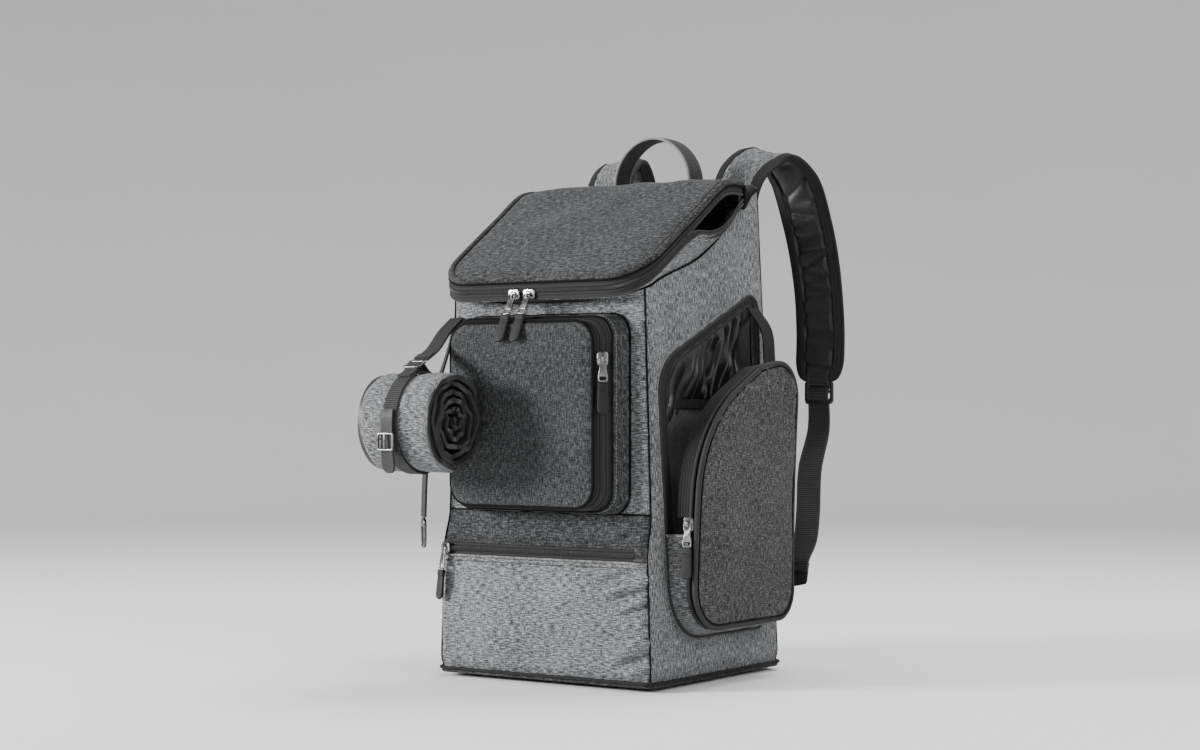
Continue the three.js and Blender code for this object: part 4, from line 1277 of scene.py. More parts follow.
        def swell(u: Array, share: Array, y: Array, z: Array) -> Array:
            """A bulge with long soft waves."""
            soft = 1.2 * np.sin(9.0 * share + 5.0 * u) + 0.9 * ripple(y, z, 55.0, 21)
            return SHAPE.swell(u, share, 4.0) + np.sin(np.pi * share) * soft

        low = SHAPE.base_top + 0.4
        SHAPE.panel(
            "left_panel_cloth", "left_panel", Side.LEFT, (80, 110), low, None, swell, Cloth.LIGHT_SIDE
        )

    def back_panel(self) -> None:
        """The padded back, with sewn channels."""

        def swell(u: Array, share: Array, x: Array, z: Array) -> Array:
            """Padding between three level channels and one upright one."""
            inner = smoothstep(114.0 - np.abs(x), 0.0, 9.0) * smoothstep(z, 18.0, 30.0)
            inner = inner * smoothstep(488.0 - z, 0.0, 10.0)
            seams = sum(bell(z, at, 4.0) for at in (130.0, 250.0, 370.0)) + bell(x, 0.0, 4.0)
            puff = inner * (5.0 - 4.6 * np.clip(seams, 0.0, 1.0))
            return SHAPE.swell(u, share, 3.0) + puff + 0.4 * ripple(x, z, 40.0, 31) * inner

        low, high = SHAPE.base_top + 0.4, SHAPE.back_z
        made = SHAPE.panel("back_pad", "back_panel", Side.BACK, (90, 130), low, high, swell, Cloth.LIGHT, 7.0)

    def base(self) -> None:
        """The stiff dark base and the piping round it."""
        half_x, half_y = SHAPE.base_half_width, (SHAPE.base_back - SHAPE.base_front) / 2.0
        slab = plate("base_slab", rectangle(half_x, half_y, SHAPE.corner), 4.0, 1.4, segments=3)
        home = Matrix.Translation((0.0, 0.0, 6.0))
        fitting("base_cloth", [slab], home, Cloth.DARK_TRIM, "base_panel", degrees=50.0)
        line = spaced(rectangle(half_x + 0.6, half_y + 0.6, SHAPE.corner), 260, True)
        cord("base_piping", table(*line.T, 8.6), 1.7, Cloth.BINDING, True, slot=Slot.DARK)

    def feet(self) -> None:
        """Four low rubber feet."""
        clear()
        bpy.ops.mesh.primitive_cylinder_add(vertices=28, radius=self.foot_radius, depth=self.foot_height)
        foot = named("foot")
        edit(foot, ("bevel", {"offset": 0.9, "segments": 3, "affect": "EDGES"}))
        for row, sy in (("front", -1), ("back", 1)):
            for column, sx in (("left", -1), ("right", 1)):
                node = f"foot_{row}_{column}"
                home = Matrix.Translation((sx * self.foot_x, sy * self.foot_y, self.foot_height / 2.0))
                fitting(f"rubber_{node}", [linked(node, foot.data.copy())], home, Cloth.RUBBER, node)
        drop(foot)

    def corner_seams(self) -> None:
        """The sewn ridges down the four corners."""
        for name, side, u, top in (
            ("front_left", Side.FRONT, 0.0, None),
            ("front_right", Side.FRONT, 1.0, None),
            ("back_right", Side.BACK, 0.0, 490.0),
            ("back_left", Side.BACK, 1.0, 490.0),
        ):
            high = float(SHAPE.seam_at(side, np.array(u))) if top is None else top
            z = np.linspace(SHAPE.base_top + 1.0, high, 90)
            # Near-black corner cords: partly real seams, partly painted shade in the corner creases.
            cord(f"seam_{name}", SHAPE.point(side, u, z, 0.5), self.piping * 0.6, Cloth.SEAM)


@dataclass
class Lid:
    """The sloping lid with its zip, the yoke behind it and the carrying handle."""

    front: float = -134.0
    crest_y: float = 10.0
    back: float = 60.0
    corner: float = 38.0
    back_corner: float = 6.0
    crown: float = 5.0
    wall: float = 3.0
    widths: Row = (122.0, 126.0, 121.0)
    rim_height: float = 17.0
    rim_back: float = 58.0
    open_drop: float = 28.0
    open_out: float = 3.0
    open_from: float = -55.0
    open_to: float = 75.0
    edge_rows: Rows = (
        (-134, 393), (-104, 412.5), (-64, 439), (-23, 466), (4, 484.5), (14, 490), (26, 493), (60, 494.5),
    )
    yoke_front: float = 61.5
    yoke_back: float = 96.0
    yoke_z: float = 497.0
    corner_rows: Rows = (
        (96, 61, 499), (112, 60.5, 498.5), (120, 60, 495), (121.5, 60.5, 487), (119.5, 62, 480),
        (116.5, 68, 480), (114.5, 82, 487), (112, 97, 494),
    )
    handle_width: float = 26.0
    handle_thick: float = 2.6
    handle_span: float = 47.0
    handle_place: Row = (3.0, 83.0, 500.5)
    handle_peak: float = 552.0

    def edge(self, y: Any) -> Any:
        """The height of the lid's edge along the side."""
        ys, zs = np.array(self.edge_rows).T
        slopes = np.gradient(zs, ys)
        at = np.clip(y, ys[0], ys[-1])
        k = np.clip(np.searchsorted(ys, at) - 1, 0, len(ys) - 2)
        span = ys[k + 1] - ys[k]
        t = (at - ys[k]) / span
        hold = (2 * t**3 - 3 * t**2 + 1) * zs[k] + (3 * t**2 - 2 * t**3) * zs[k + 1]
        return hold + ((t**3 - 2 * t**2 + t) * slopes[k] + (t**3 - t**2) * slopes[k + 1]) * span

    def rim_line(self, widths: Sequence[float], y: float, corner: float) -> Array:
        """A line down the left side, round the front and up the right side.

        Args:
            widths: Half the width at the front, the crest and the back.
            y: Where its front lies.
            corner: The radius of its front corners.

        Returns:
            Its points in plan, in a fixed number.
        """
        front, crest, back = widths
        steps = 14
        corners = [(-back, self.rim_back), (-crest, self.crest_y), (-front, y, corner), (front, y, corner)]
        corners += [(crest, self.crest_y), (back, self.rim_back)]
        line = rounded(corners, steps=steps, ends=True)
        pieces = {0: 8, 1: 26, steps + 2: 30, 2 * steps + 3: 26, 2 * steps + 4: 8}
        fine = []
        for i, place in enumerate(line):
            count = pieces.get(i, 1)
            ahead = line[min(i + 1, len(line) - 1)]
            fine += [lerp(place, ahead, k / count) for k in range(count)]
        return np.array(fine)

    def rim(self) -> Array:
        """The lid's edge in plan."""
        return self.rim_line(self.widths, self.front, self.corner)

    def outward(self, line: Array) -> Array:
        """The direction away from the bag along a rim line."""
        along = tangents(line[:, :2])
        return table(along[:, 1], -along[:, 0], 0.0)

    def below(self, share: float, out: float = 0.0) -> Array:
        """The line under the lid's edge at a share of the rim's height, and moved out."""
        rim = self.rim()
        line = np.column_stack([rim, self.edge(rim[:, 1]) - self.rim_height * share])
        return line + out * self.outward(line)

    def undone(self, line: Array) -> Array:
        """How far the zip is undone along a rim line, from 0 to 1."""
        return np.where(line[:, 0] > 0, hump(line[:, 1], self.open_from, self.open_to), 0.0)

    def opened(self, share: float, out: float = 0.0) -> Array:
        """The same line on the body's half of the zip, which drops where it is undone."""
        line = self.below(share, out)
        return line + self.undone(line)[:, None] * (self.open_out, 0.0, -self.open_drop)

    def hem(self, closed: float, undone: float, out: float) -> Array:
        """The facing's upper edge, which stands higher where the zip is undone.

        Args:
            closed: Its share of the rim's height where the zip is closed.
            undone: Its share where the zip is undone.
            out: How far it stands out where the zip is undone.

        Returns:
            The line's points.
        """
        share = smoothstep(self.undone(self.rim()), 0.0, 0.3)
        return lerp(self.opened(closed, -0.4), self.opened(undone, out), share[:, None])

    def sewn(self, out: float = 0.0) -> Array:
        """The seam that joins the facing to the body."""
        inset = SHAPE.cloth / 2.0
        places = (SHAPE.slope_y, self.crest_y, self.rim_back)
        half = [SHAPE.half_at(SHAPE.slope_at(y)) - inset for y in places]
        line = self.rim_line(half, SHAPE.front + inset, SHAPE.corner - inset)
        line = np.column_stack([line, SHAPE.mouth_at(line[:, 0], line[:, 1]) + SHAPE.seam])
        return line + out * self.outward(line)

    def build(self) -> None:
        """Makes and dresses the lid's pieces."""
        self.top()
        self.zip()
        self.facing()
        self.linings()
        self.yoke()
        self.handle()

    def outline(self, inset: float) -> Array:
        """The lid's outline in plan."""
        front, crest, back = self.widths
        half = [(front, self.front, self.corner), (crest, self.crest_y), (back, self.back, self.back_corner)]
        corners = [(-half[0][0], *half[0][1:]), *half, *((-x, *rest) for x, *rest in half[:0:-1])]
        return rounded(corners, inset, 14)

    def surface(self, x: Array, y: Array, edge: Array) -> Array:
        """The lid's upper face."""
        z = self.edge(y) + 0.4 + self.wall + self.crown * edge + 0.9 * edge * ripple(x, y, 60.0, 41)
        return table(x, y, z + puckers(x, y, edge, 42))

    def top(self) -> None:
        """The dark lid, its band and its piping."""
        points, uv = crowned(self.outline(3.0), 64, 80, self.surface)
        sheet("lid_cloth", points, self.wall, Cloth.DARK, "lid", inside=(0, 0, 200), uv=uv)
        cord("lid_band", self.below(-0.17, -0.9), 3.3, Cloth.DARK_TRIM, sides=4)
        # The piping and the seam under the lid's band are near-black: partly real, partly painted shade
        # between the lid, its band and the zip.
        cord("lid_piping", self.below(0.04, 1.0), 1.2, Cloth.SEAM)
        cord("lid_seam", self.below(-0.27, -4.4), 1.0, Cloth.SEAM)

    def zip(self) -> None:
        """The zip's two tapes and its coil, closed on the left and in front and undone on the right."""
        away = self.outward(self.rim())
        upper = between(self.below(0.5), self.below(0.03), 7, 0.5, away)
        sheet("lid_tape", upper, TAPE_THICK, Cloth.TAPE, "lid_zip", inside=(0, 0, 430))
        lower = between(self.opened(0.92), self.opened(0.52), 7, 0.5, away)
        sheet("mouth_tape", lower, TAPE_THICK, Cloth.TAPE, "mouth_zip", inside=(0, 0, 420))
        line = self.below(0.51, 0.9)
        out = self.outward(line)
        shut = (line[:, 0] < 0) | (line[:, 1] < self.open_from + 3.0)
        coil("lid_coil", line[shut], out[shut], 3.6)
        loose = (line[:, 0] > 0) & (line[:, 1] >= self.open_from + 1.0)
        for name, edge in (("upper", self.below(0.5, 0.5)), ("lower", self.opened(0.52, 0.5))):
            coil(f"lid_coil_{name}", edge[loose], out[loose], 2.6, cloth=Cloth.TEETH)

    def facing(self) -> None:
        """The light strip between the body's seam and the zip, with its piping."""
        points = between(self.sewn(), self.hem(1.05, 0.7, 1.2), 12, 1.6, self.outward(self.sewn()))
        sheet("mouth_facing_cloth", points, 1.6, Cloth.LIGHT, "mouth_facing", inside=(0, 0, 400))
        # The mouth piping is near-black: partly real piping, partly painted shade along the facing's seam.
        cord("mouth_piping", self.sewn(1.0) - (0.0, 0.0, 1.0), 1.0, Cloth.SEAM)
        cord("mouth_tape_edge", self.hem(0.97, 0.66, 1.2), 1.1, Cloth.PIPING)

    def linings(self) -> None:
        """The black lining under the lid and inside the mouth, which shows through the undone zip."""
        under = (0.0, 0.0, 4.6)
        points, uv = crowned(self.outline(7.0), 40, 44, lambda x, y, e: self.surface(x, y, e) - under)
        sheet("lid_lining", points, LINING_THICK, Cloth.LINING, inside=(0, 0, 800), uv=uv)
        rows = [self.opened(0.9, -3.6), self.opened(1.02, -4.0)]
        rows += [self.sewn(-4.4) + (0.0, 0.0, 3.0), self.sewn(-5.0) - (0.0, 0.0, 60.0)]
        parts = [between(a, b, 5)[:, :-1] for a, b in zip(rows, rows[1:])]
        points = np.concatenate([*parts, rows[3][:, None]], 1)
        sheet("mouth_lining", points, LINING_THICK, Cloth.LINING, inside=(0, 0, 400))

    def yoke(self) -> None:
        """The dark strip over the top, behind the lid, and the lid's rolled corners."""
        sections = []
        for y in np.linspace(self.yoke_front, self.yoke_back, 14):
            top = self.yoke_z + 3.0 * float(smoothstep(y, 80.0, self.yoke_back))
            section = []
            for sign in (-1, 1):
                low = min(float(SHAPE.mouth_at(np.array(sign), np.array(y))) + 2.5, top - 3.0)
                x = float(SHAPE.half_at(low)) - SHAPE.cloth / 2.0
                ease = min(15.0, 0.94 * (top - low))
                half = rounded([(0.0, top), (x, top, ease), (x, low)], steps=8, ends=True)
                half = np.vstack([np.linspace(half[0], half[1], 12)[:-1], half[1:]])
                section.append(table(sign * half[:, 0], y, half[:, 1]))
            sections.append(np.vstack([section[0][::-1], section[1][1:]]))
        points = np.stack(sections, axis=1)
        sheet(
            "yoke_cloth", points, SHAPE.cloth, Cloth.BINDING, "top_yoke", inside=(0, 80, 300),
            uv=points[..., :2], slot=Slot.DARK,
        )
        for name, s, sag in (("left", -1.0, 0.0), ("right", 1.0, 5.0)):
            rows = [(s * x, y, z - sag if z == 480 else z) for x, y, z in self.corner_rows]
            # The lid's rolled corners use the near-black seam cloth: partly real, partly painted shade.
            cord(f"lid_corner_{name}", smooth_route(rows, 60), 2.8, Cloth.SEAM, sides=4)

    def handle(self) -> None:
        """The ribbed carrying handle."""
        x, y, z = self.handle_place
        angle = np.linspace(0.0, np.pi, 13)
        across = x - self.handle_span * np.cos(angle) * (1.0 - 0.12 * np.sin(angle))
        line = smooth_route(table(across, y, z + (self.handle_peak - z) * np.sin(angle) ** 0.8), 90)
        side, width = (0.0, 1.0, 0.0), self.handle_width
        ribbon(
            "handle_web", line, side, width, self.handle_thick, Cloth.WEB, "top_handle", columns=9, crown=0.4
        )
        for name, offset in (("front", -0.5), ("back", 0.5)):
            cord(f"handle_edge_{name}", line + (0.0, offset * width, 0.0), 1.4, Cloth.PALE_EDGE)


@dataclass
class FrontPocket:
    """The boxy front pocket: gusset, zip belt and crowned face."""

    middle: float = 264.5
    corner: float = 20.0
    crown: float = 5.0
    base: Row = (-114.4, 100.0, 96.0, 0.0, 0.0)
    belt: Row = (-137.0, 94.0, 92.5, 0.0, 0.0)
    face: Row = (-148.0, 84.5, 88.0, -4.5, -0.5)
    points: int = 240

    def ring(self, section: Row, grow: float = 0.0, move: float = 0.0) -> Array:
        """A closed line round a section (y, half width, half height, x, z), wider and moved along Y.

        Args:
            section: The section.
            grow: How much wider the line is.
            move: How far it is moved.

        Returns:
            Its points, in a fixed number.
        """
        y, w, h, x, z = section
        even = spaced(rectangle(w + grow, h + grow, self.corner + grow, 12), self.points, True)
        return table(even[:, 0] + x, y + move, even[:, 1] + z + self.middle)

    def out(self, line: Array) -> Array:
        """The direction away from the pocket's middle, level with the body."""
        along = tangents(line, True)
        return table(along[:, 2], 0.0, -along[:, 0])

    def build(self) -> None:
        """Makes and dresses the pocket's pieces."""
        self.gusset()
        self.zip()
        self.panel()

    def gusset(self) -> None:
        """The dark wall that stands out from the body."""
        foot, rim = self.ring(self.base), self.ring(self.belt)
        points = between(foot, rim, 12, 1.2, self.out(foot))
        wrinkle = 0.6 * ripple(points[..., 0] + points[..., 2], points[..., 1] * 2.0, 26.0, 51)
        points = points + wrinkle[..., None] * self.out(foot)[:, None, :]
        inside = (0, -125, self.middle)
        sheet("pocket_gusset", points, 2.0, Cloth.DARK, "front_pocket_gusset", inside=inside, closed=True)
        # Near-black foot piping: a painted shadow line where the gusset meets the front, partly a real seam.
        cord("pocket_foot_piping", self.ring(self.base, 0.3, -0.8), 1.3, Cloth.SEAM, True)
        y, w, h, x, z = self.belt
        row = self.ring((y + 4.5, w + 1.0, h + 0.6, x, z), 1.2)
        stitches("pocket_gusset_stitches", row, self.out(row), Cloth.THREAD_PALE, True)

    def zip(self) -> None:
        """The zip belt between the gusset and the face, with its coil and the two pipings."""
        low, high = self.ring(self.belt, 0.0, -0.2), self.ring(self.face)
        slope = self.out(low) * 0.6 + (0.0, -0.8, 0.0)
        points, inside = between(low, high, 9, 0.6, slope), (0, -125, self.middle)
        sheet("pocket_tape", points, TAPE_THICK, Cloth.TAPE, "front_pocket_zip", inside=inside, closed=True)
        coil("pocket_coil", lerp(low, high, 0.5) + slope * 0.9, slope, 4.0, True)
        # Near-black belt and face pipings: partly the pocket's real dark piping, partly painted shade at
        # their seams.
        cord("pocket_belt_piping", self.ring(self.belt, 0.6), 1.4, Cloth.SEAM, True)
        cord("pocket_face_piping", self.ring(self.face, 1.0, -1.4), 1.7, Cloth.SEAM, True)

    def panel(self) -> None:
        """The crowned dark face."""
        y, w, h, x0, z0 = self.face

        def place(x: Array, z: Array, edge: Array) -> Array:
            """The face's outer side."""
            soft = y - 2.8 - self.crown * edge - 0.9 * edge * ripple(x, z, 60.0, 61)
            return table(x, soft - puckers(x, z, edge, 62), z)

        outline = rectangle(w, h, self.corner, 12) + (x0, z0 + self.middle)
        points, uv = crowned(outline, 60, 60, place)
        inside = (0, 0, self.middle)
        sheet("pocket_face", points, 2.4, Cloth.POCKET, "front_pocket_panel", inside=inside, uv=uv)


@dataclass
class SideCompartment:
    """The open compartment on the right: panel, opening, lining, net and the door that leans out."""

    depth: float = 44.0
    tape: float = 10.0
    net_top: float = 270.0
    net_depth: float = 24.0
    net_inset: float = 3.6
    standoff: float = 30.0
    lean: float = 24.0
    door_foot: float = 50.0
    door_height: float = 255.0
    pad: float = 8.0
    puff: float = 5.0
    rim: float = 15.0
    slider_height: float = 148.0
    opening: Rows = ((-86, 40, 55), (92, 40, 25), (92, 383, 14), (-98, 303, 48))
    door: Rows = ((-90, 50, 42), (95, 50, 26), (78, 309, 40), (10, 301, 60), (-92, 247, 110))
    panel_folds: Rows = (
        (-100, 20, -60, 44, 7, 1.6), (60, 18, 104, 40, 8, 1.8), (70, 36, 108, 24, 5, -1.6),
        (-112, 180, -104, 300, 4, 1.2), (-60, 352, 30, 396, 7, 1.6), (0, 384, 70, 424, 6, -1.4),
    )
    door_folds: Rows = (
        (56, 298, 50, 262, 4, -2.4), (42, 300, 38, 272, 3.6, 1.8), (72, 290, 66, 248, 4.4, 2.0),
        (18, 294, 10, 268, 4, -1.6), (-66, 244, -44, 220, 5, -2.0), (-84, 186, -58, 176, 4.4, -2.0),
        (-86, 118, -56, 128, 5, -1.8), (-44, 58, -34, 86, 4.4, 1.6), (38, 58, 46, 84, 4.4, -1.8),
        (-30, 150, 60, 196, 20, 2.0),
    )

    def world(self, out: Any, along: Any, up: Any) -> Array:
        """A place on the right panel's own axes as a place on the bag."""
        tilt = math.atan((SHAPE.base_half_width - SHAPE.half_width) / (SHAPE.mouth_z - SHAPE.base_top))
        cos, sin = math.cos(tilt), math.sin(tilt)
        x = SHAPE.base_half_width + out * cos - up * sin
        return table(x, np.asarray(along, float), SHAPE.base_top + out * sin + up * cos)

    def normal(self) -> Array:
        """The panel's outward direction."""
        return self.world(1.0, 0.0, 0.0) - self.world(0.0, 0.0, 0.0)

    def reach(self, up: Any) -> Any:
        """How far the door's outer face stands off the panel at a height."""
        return self.standoff + self.lean * np.clip((up - self.door_foot) / self.door_height, 0.0, 1.0) ** 1.4

    def build(self) -> None:
        """Makes and dresses the compartment's pieces."""
        self.panel()
        self.mouth()
        self.lining()
        self.net()
        self.gusset()
        self.door_panel()
        self.door_zip()
        self.stay()

    def side(self, z: Array) -> tuple[Array, Array, float, float]:
        """Where the side's flat part starts and ends, and a corner's share of its width and length."""
        ends = SHAPE.front_at(z) + SHAPE.corner, SHAPE.back_at(z) - SHAPE.corner
        return *ends, SHAPE.round_share, SHAPE.corner * math.pi / 4.0

    def flat(self, share: Any, z: Array) -> Array:
        """The distance along the side at a share of its width, with the rounded corners laid flat."""
        start, end, part, turn = self.side(z)
        middle = lerp(start, end, (share - part) / (1.0 - 2.0 * part))
        before = start - turn * (1.0 - share / part)
        after = end + turn * (1.0 - (1.0 - share) / part)
        return np.where(share < part, before, np.where(share > 1.0 - part, after, middle))

    def share(self, s: Array, z: Array) -> Array:
        """The share of the side's width at a distance along it, the reverse of flat."""
        start, end, part, turn = self.side(z)
        u = part + (1.0 - 2.0 * part) * (s - start) / (end - start)
        u = np.where(s < start, part * (1.0 - (start - s) / turn), u)
        u = np.where(s > end, 1.0 - part * (1.0 - (s - end) / turn), u)
        return np.clip(u, 0.0, 1.0)

    def panel(self) -> None:
        """The light right side, cut out for the opening."""
        inner = spaced(rounded(self.opening, 0.6, 14), 400, True) + (0.0, SHAPE.base_top)
        u, rise = np.linspace(0.0, 1.0, 120), np.linspace(0.0, 1.0, 90)
        low, top = SHAPE.base_top + 0.4, SHAPE.seam_at(Side.RIGHT, u)
        bottom, right, left = np.full(u.shape, low), lerp(low, top[-1], rise), lerp(low, top[0], rise)
        edge = [table(self.flat(u, bottom), bottom)[:-1], table(self.flat(1.0, right), right)[:-1]]
        edge += [table(self.flat(u, top), top)[:0:-1], table(self.flat(0.0, left), left)[:0:-1]]
        middle = np.array([0.0, 205.0])
        bearing = np.arctan2(*(np.array([part[0] for part in edge]) - middle).T[::-1])
        angles = np.unique(np.concatenate([np.linspace(-np.pi, np.pi, 260)[:-1], bearing]))
        near, far = self.hits(inner, middle, angles), self.hits(np.vstack(edge), middle, angles)
        share = np.linspace(0.0, 1.0, 22)
        plane = near[:, None, :] + (far - near)[:, None, :] * share[None, :, None]
        s, z = plane[..., 0], plane[..., 1]
        swell = folded(self.panel_folds, s, z) + 0.7 * ripple(s, z, 50.0, 71)
        swell = swell * np.sin(np.pi * share)[None] ** 0.5
        gather = 0.8 * np.sin(s / 3.1 + 2.0 * ripple(s, z, 60.0, 72)) * np.exp(-share * 7.0)[None]
        points = SHAPE.point(Side.RIGHT, self.share(s, z), z, swell + gather * smoothstep(z, 300, 340))
        sheet(
            "right_panel_cloth", points, SHAPE.cloth, Cloth.LIGHT_SIDE, "right_panel", inside=(0, 0, 220),
            uv=table(s, z), closed=True,
        )

    def hits(self, line: Array, middle: Array, angles: Array) -> Array:
        """Where rays from a middle point meet a closed line.

        Args:
            line: The closed line's points.
            middle: The rays' start.
            angles: The rays' directions.

        Returns:
            A point for each ray.
        """
        a = line - middle
        b = np.roll(line, -1, axis=0) - middle
        found = []
        for angle in angles:
            ray = np.array([math.cos(angle), math.sin(angle)])
            side_a = ray[0] * a[:, 1] - ray[1] * a[:, 0]
            side_b = ray[0] * b[:, 1] - ray[1] * b[:, 0]
            crossing = (side_a * side_b <= 0) & (side_a != side_b)
            share = side_a[crossing] / (side_a[crossing] - side_b[crossing])
            reach = (a[crossing] + (b[crossing] - a[crossing]) * share[:, None]) @ ray
            found.append(middle + ray * reach.max())
        return np.array(found)

    def opening_line(self, inset: float, out: float, widen: float = 0.0) -> Array:
        """A closed line inside the opening's edge, further inside along its front by the widening."""
        flat = spaced(rounded(self.opening, inset, 14), 300, True)
        return self.world(out, flat[:, 0] + widen * smoothstep(-flat[:, 0], 40.0, 80.0), flat[:, 1])

    def mouth(self) -> None:
        """The opening's zip tape, coil, edge binding and stitch row."""
        outer, inner = self.opening_line(-1.0, -1.0), self.opening_line(self.tape, -2.6, 6.0)
        points = between(outer, inner, 7, 0.5, np.broadcast_to(self.normal(), outer.shape))
        inside = (0, 0, 200)
        sheet("opening_tape", points, TAPE_THICK, Cloth.TAPE, "side_opening_zip", inside=inside, closed=True)
        coil("opening_coil", self.opening_line(self.tape - 0.6, -1.8, 6.0), self.normal(), 3.2, True)
        cord("opening_binding", self.opening_line(-0.4, 0.2), 1.4, Cloth.PIPING, True)
        row = self.opening_line(-4.5, 0.9)
        stitches("opening_stitches", row, self.normal(), Cloth.THREAD_PALE, True, slot=Slot.LIGHT)

    def lining(self) -> None:
        """The gathered black lining that hangs from the opening's edge."""
        rim = spaced(rounded(self.opening, 4.0, 14), 520, True)
        middle = np.array([0.0, 195.0])
        share = np.linspace(1.0, 0.02, 60)
        shrink = np.where(share > 0.5, share**0.35, 0.5**0.35 * (share / 0.5))
        plane = middle + (rim - middle)[:, None, :] * shrink[None, :, None]
        y, z = plane[..., 0], plane[..., 1]
        (back, high, _), (front, low, _) = self.opening[2:]
        top = lerp(low, high, (y - front) / (back - front))
        hang = np.clip((top - z) / 150.0, 0.0, 1.0)
        curtain = 0.22 + 0.78 * smoothstep(hang, 0.1, 1.0)
        deep = -3.4 - (self.depth - 4.0) * (1.0 - smoothstep(share, 0.5, 1.0))[None] * curtain
        lean = y * (1.0 - 0.35 * hang)
        pleat = np.abs(np.sin(lean / 5.6 + 1.3 * ripple(y, z, 70.0, 81))) * 9.0 - 4.5
        pleat = pleat + np.sin(lean / 2.1) * 1.2
        soft = 4.0 * ripple(y, z, 45.0, 82)
        fade = np.sin(np.pi * np.clip(share, 0.0, 0.96))[None] ** 0.6
        out = deep + fade * ((1.0 - hang) ** 0.7 * pleat * 1.4 + soft * 0.8)
        points = self.world(np.clip(out, -self.depth - 2.0, -2.6), y, z)
        made = sheet(
            "side_lining_cloth", points, LINING_THICK, Cloth.LINING, "side_lining", inside=(400, 0, 200),
            closed=True,
        )

    def net(self) -> None:
        """The net pocket across the compartment, with its bound top edge."""
        inset, top = self.net_inset, self.net_top
        (front, foot, _), (back, *_), *_ = self.opening
        corners = [(front + inset, foot + inset, 52), (back - inset, foot + inset, 22)]
        corners += [(back - inset, top, 3), (front - 10 + inset, top, 3)]

        def place(y: Array, z: Array, edge: Array) -> Array:
            """The net, which bellies out a little."""
            return self.world(-self.net_depth + edge * (5.0 + 2.0 * ripple(y, z, 70.0, 91)), y, z)

        points, uv = crowned(rounded(corners), 50, 50, place)
        made = sheet("net_pocket", points, 0.7, Cloth.NET, "side_mesh_pocket", inside=(0, 0, 200), uv=uv)
        arch = np.sin(np.pi * np.linspace(0.0, 1.0, 90)) ** 0.6
        line = self.world(-self.net_depth + 1.0 + 4.0 * arch, np.linspace(-90.0, 87.0, 90), top - 3.0)
        up = self.world(0.0, 0.0, 1.0) - self.world(0.0, 0.0, 0.0)
        hem = ribbon("net_hem", line, up, 9.0, 1.6, Cloth.TAPE, columns=5, slot=Slot.LINING)

    def low_run(self, corners: Rows, shift: float) -> Array:
        """The line of a gusset edge: down the front, along the bottom and up the back."""
        (x0, *foot), (x1, *heel) = corners[:2]
        run = [(x0 - 4.0 - shift, self.slider_height - 8.0), (x0 - shift, *foot)]
        run += [(x1 + shift, *heel), (x1 - 3.0 + shift, 232.0)]
        return spaced(rounded(run, steps=16, ends=True), 170)

    def gusset(self) -> None:
        """The light wall that joins the door's foot to the panel, with its seams."""
        first, second = self.low_run(self.opening, 2.0), self.low_run(self.door, -2.0)
        foot = self.world(1.2, *first.T)
        shoulder = self.world(self.reach(second[:, 1]) - self.pad - 1.2, *second.T)
        out = np.cross(tangents(foot), self.normal())
        points = between(foot, shoulder, 14, 1.5, out)
        places, rise = np.linspace(0.0, lengths(foot)[-1], 170)[:, None], np.linspace(0.0, 1.0, 14)[None]
        crease = 0.9 * ripple(places, 25.0 * rise, 24.0, 101) * np.sin(np.pi * rise)
        wall = points + crease[..., None] * out[:, None, :]
        sheet("gusset_cloth", wall, 2.2, Cloth.LIGHT_SIDE, "side_gusset", inside=self.world(10.0, 0.0, 200.0))
        cord("gusset_foot_piping", foot + out * 0.8, 1.7, Cloth.PIPING)
        cord("gusset_end_binding", points[0], 1.6, Cloth.LIGHT_TRIM)

    def door_line(self, out: float, grow: float) -> Array:
        """A closed line round the door's edge."""
        flat = spaced(rounded(self.door, -grow, 16), 320, True)
        return self.world(self.reach(flat[:, 1]) + out, *flat.T)

    def door_panel(self) -> None:
        """The padded dark door, its pipings, stitch row and lining."""

        def place(y: Array, z: Array, edge: Array) -> Array:
            """The door's outer face."""
            soft = edge * (self.puff + 1.2 * ripple(y, z, 60.0, 111)) + puckers(y, z, edge, 112)
            soft = soft + smoothstep(edge, 0.0, 0.4) * folded(self.door_folds, y, z)
            return self.world(self.reach(z) + soft, y, z)

        points, uv = crowned(rounded(self.door, steps=16), 80, 100, place)
        # The door's cloth is painted paler than the other dark heather, partly for the light that falls on
        # it.
        made = sheet("door_cloth", points, self.pad - 1.0, Cloth.DOOR, "side_door", inside=(0, 0, 180), uv=uv)
        # The door's pipings use the paler piping copy: painted highlight along the door's edges.
        cord("door_edge_piping", self.door_line(-0.6, 0.8), 2.6, Cloth.DOOR_PIPING, True)
        cord("door_inner_piping", self.door_line(-self.pad + 0.4, 0.4), 2.0, Cloth.DOOR_PIPING, True)
        # The door seam is near-black: partly a real seam, partly painted shade in its crease.
        cord("door_seam", self.door_line(1.3, -2.4), 0.9, Cloth.SEAM, True)
        stitches("door_stitches", self.door_line(1.5, -5.0), self.normal(), Cloth.THREAD_DARK, True)
        behind = self.pad + 0.2
        back, uv = crowned(
            rounded(self.door, 1.5, 16), 40, 50, lambda y, z, _: self.world(self.reach(z) - behind, y, z)
        )
        sheet("door_lining", back, LINING_THICK, Cloth.LINING, inside=(400, 0, 180), uv=uv)

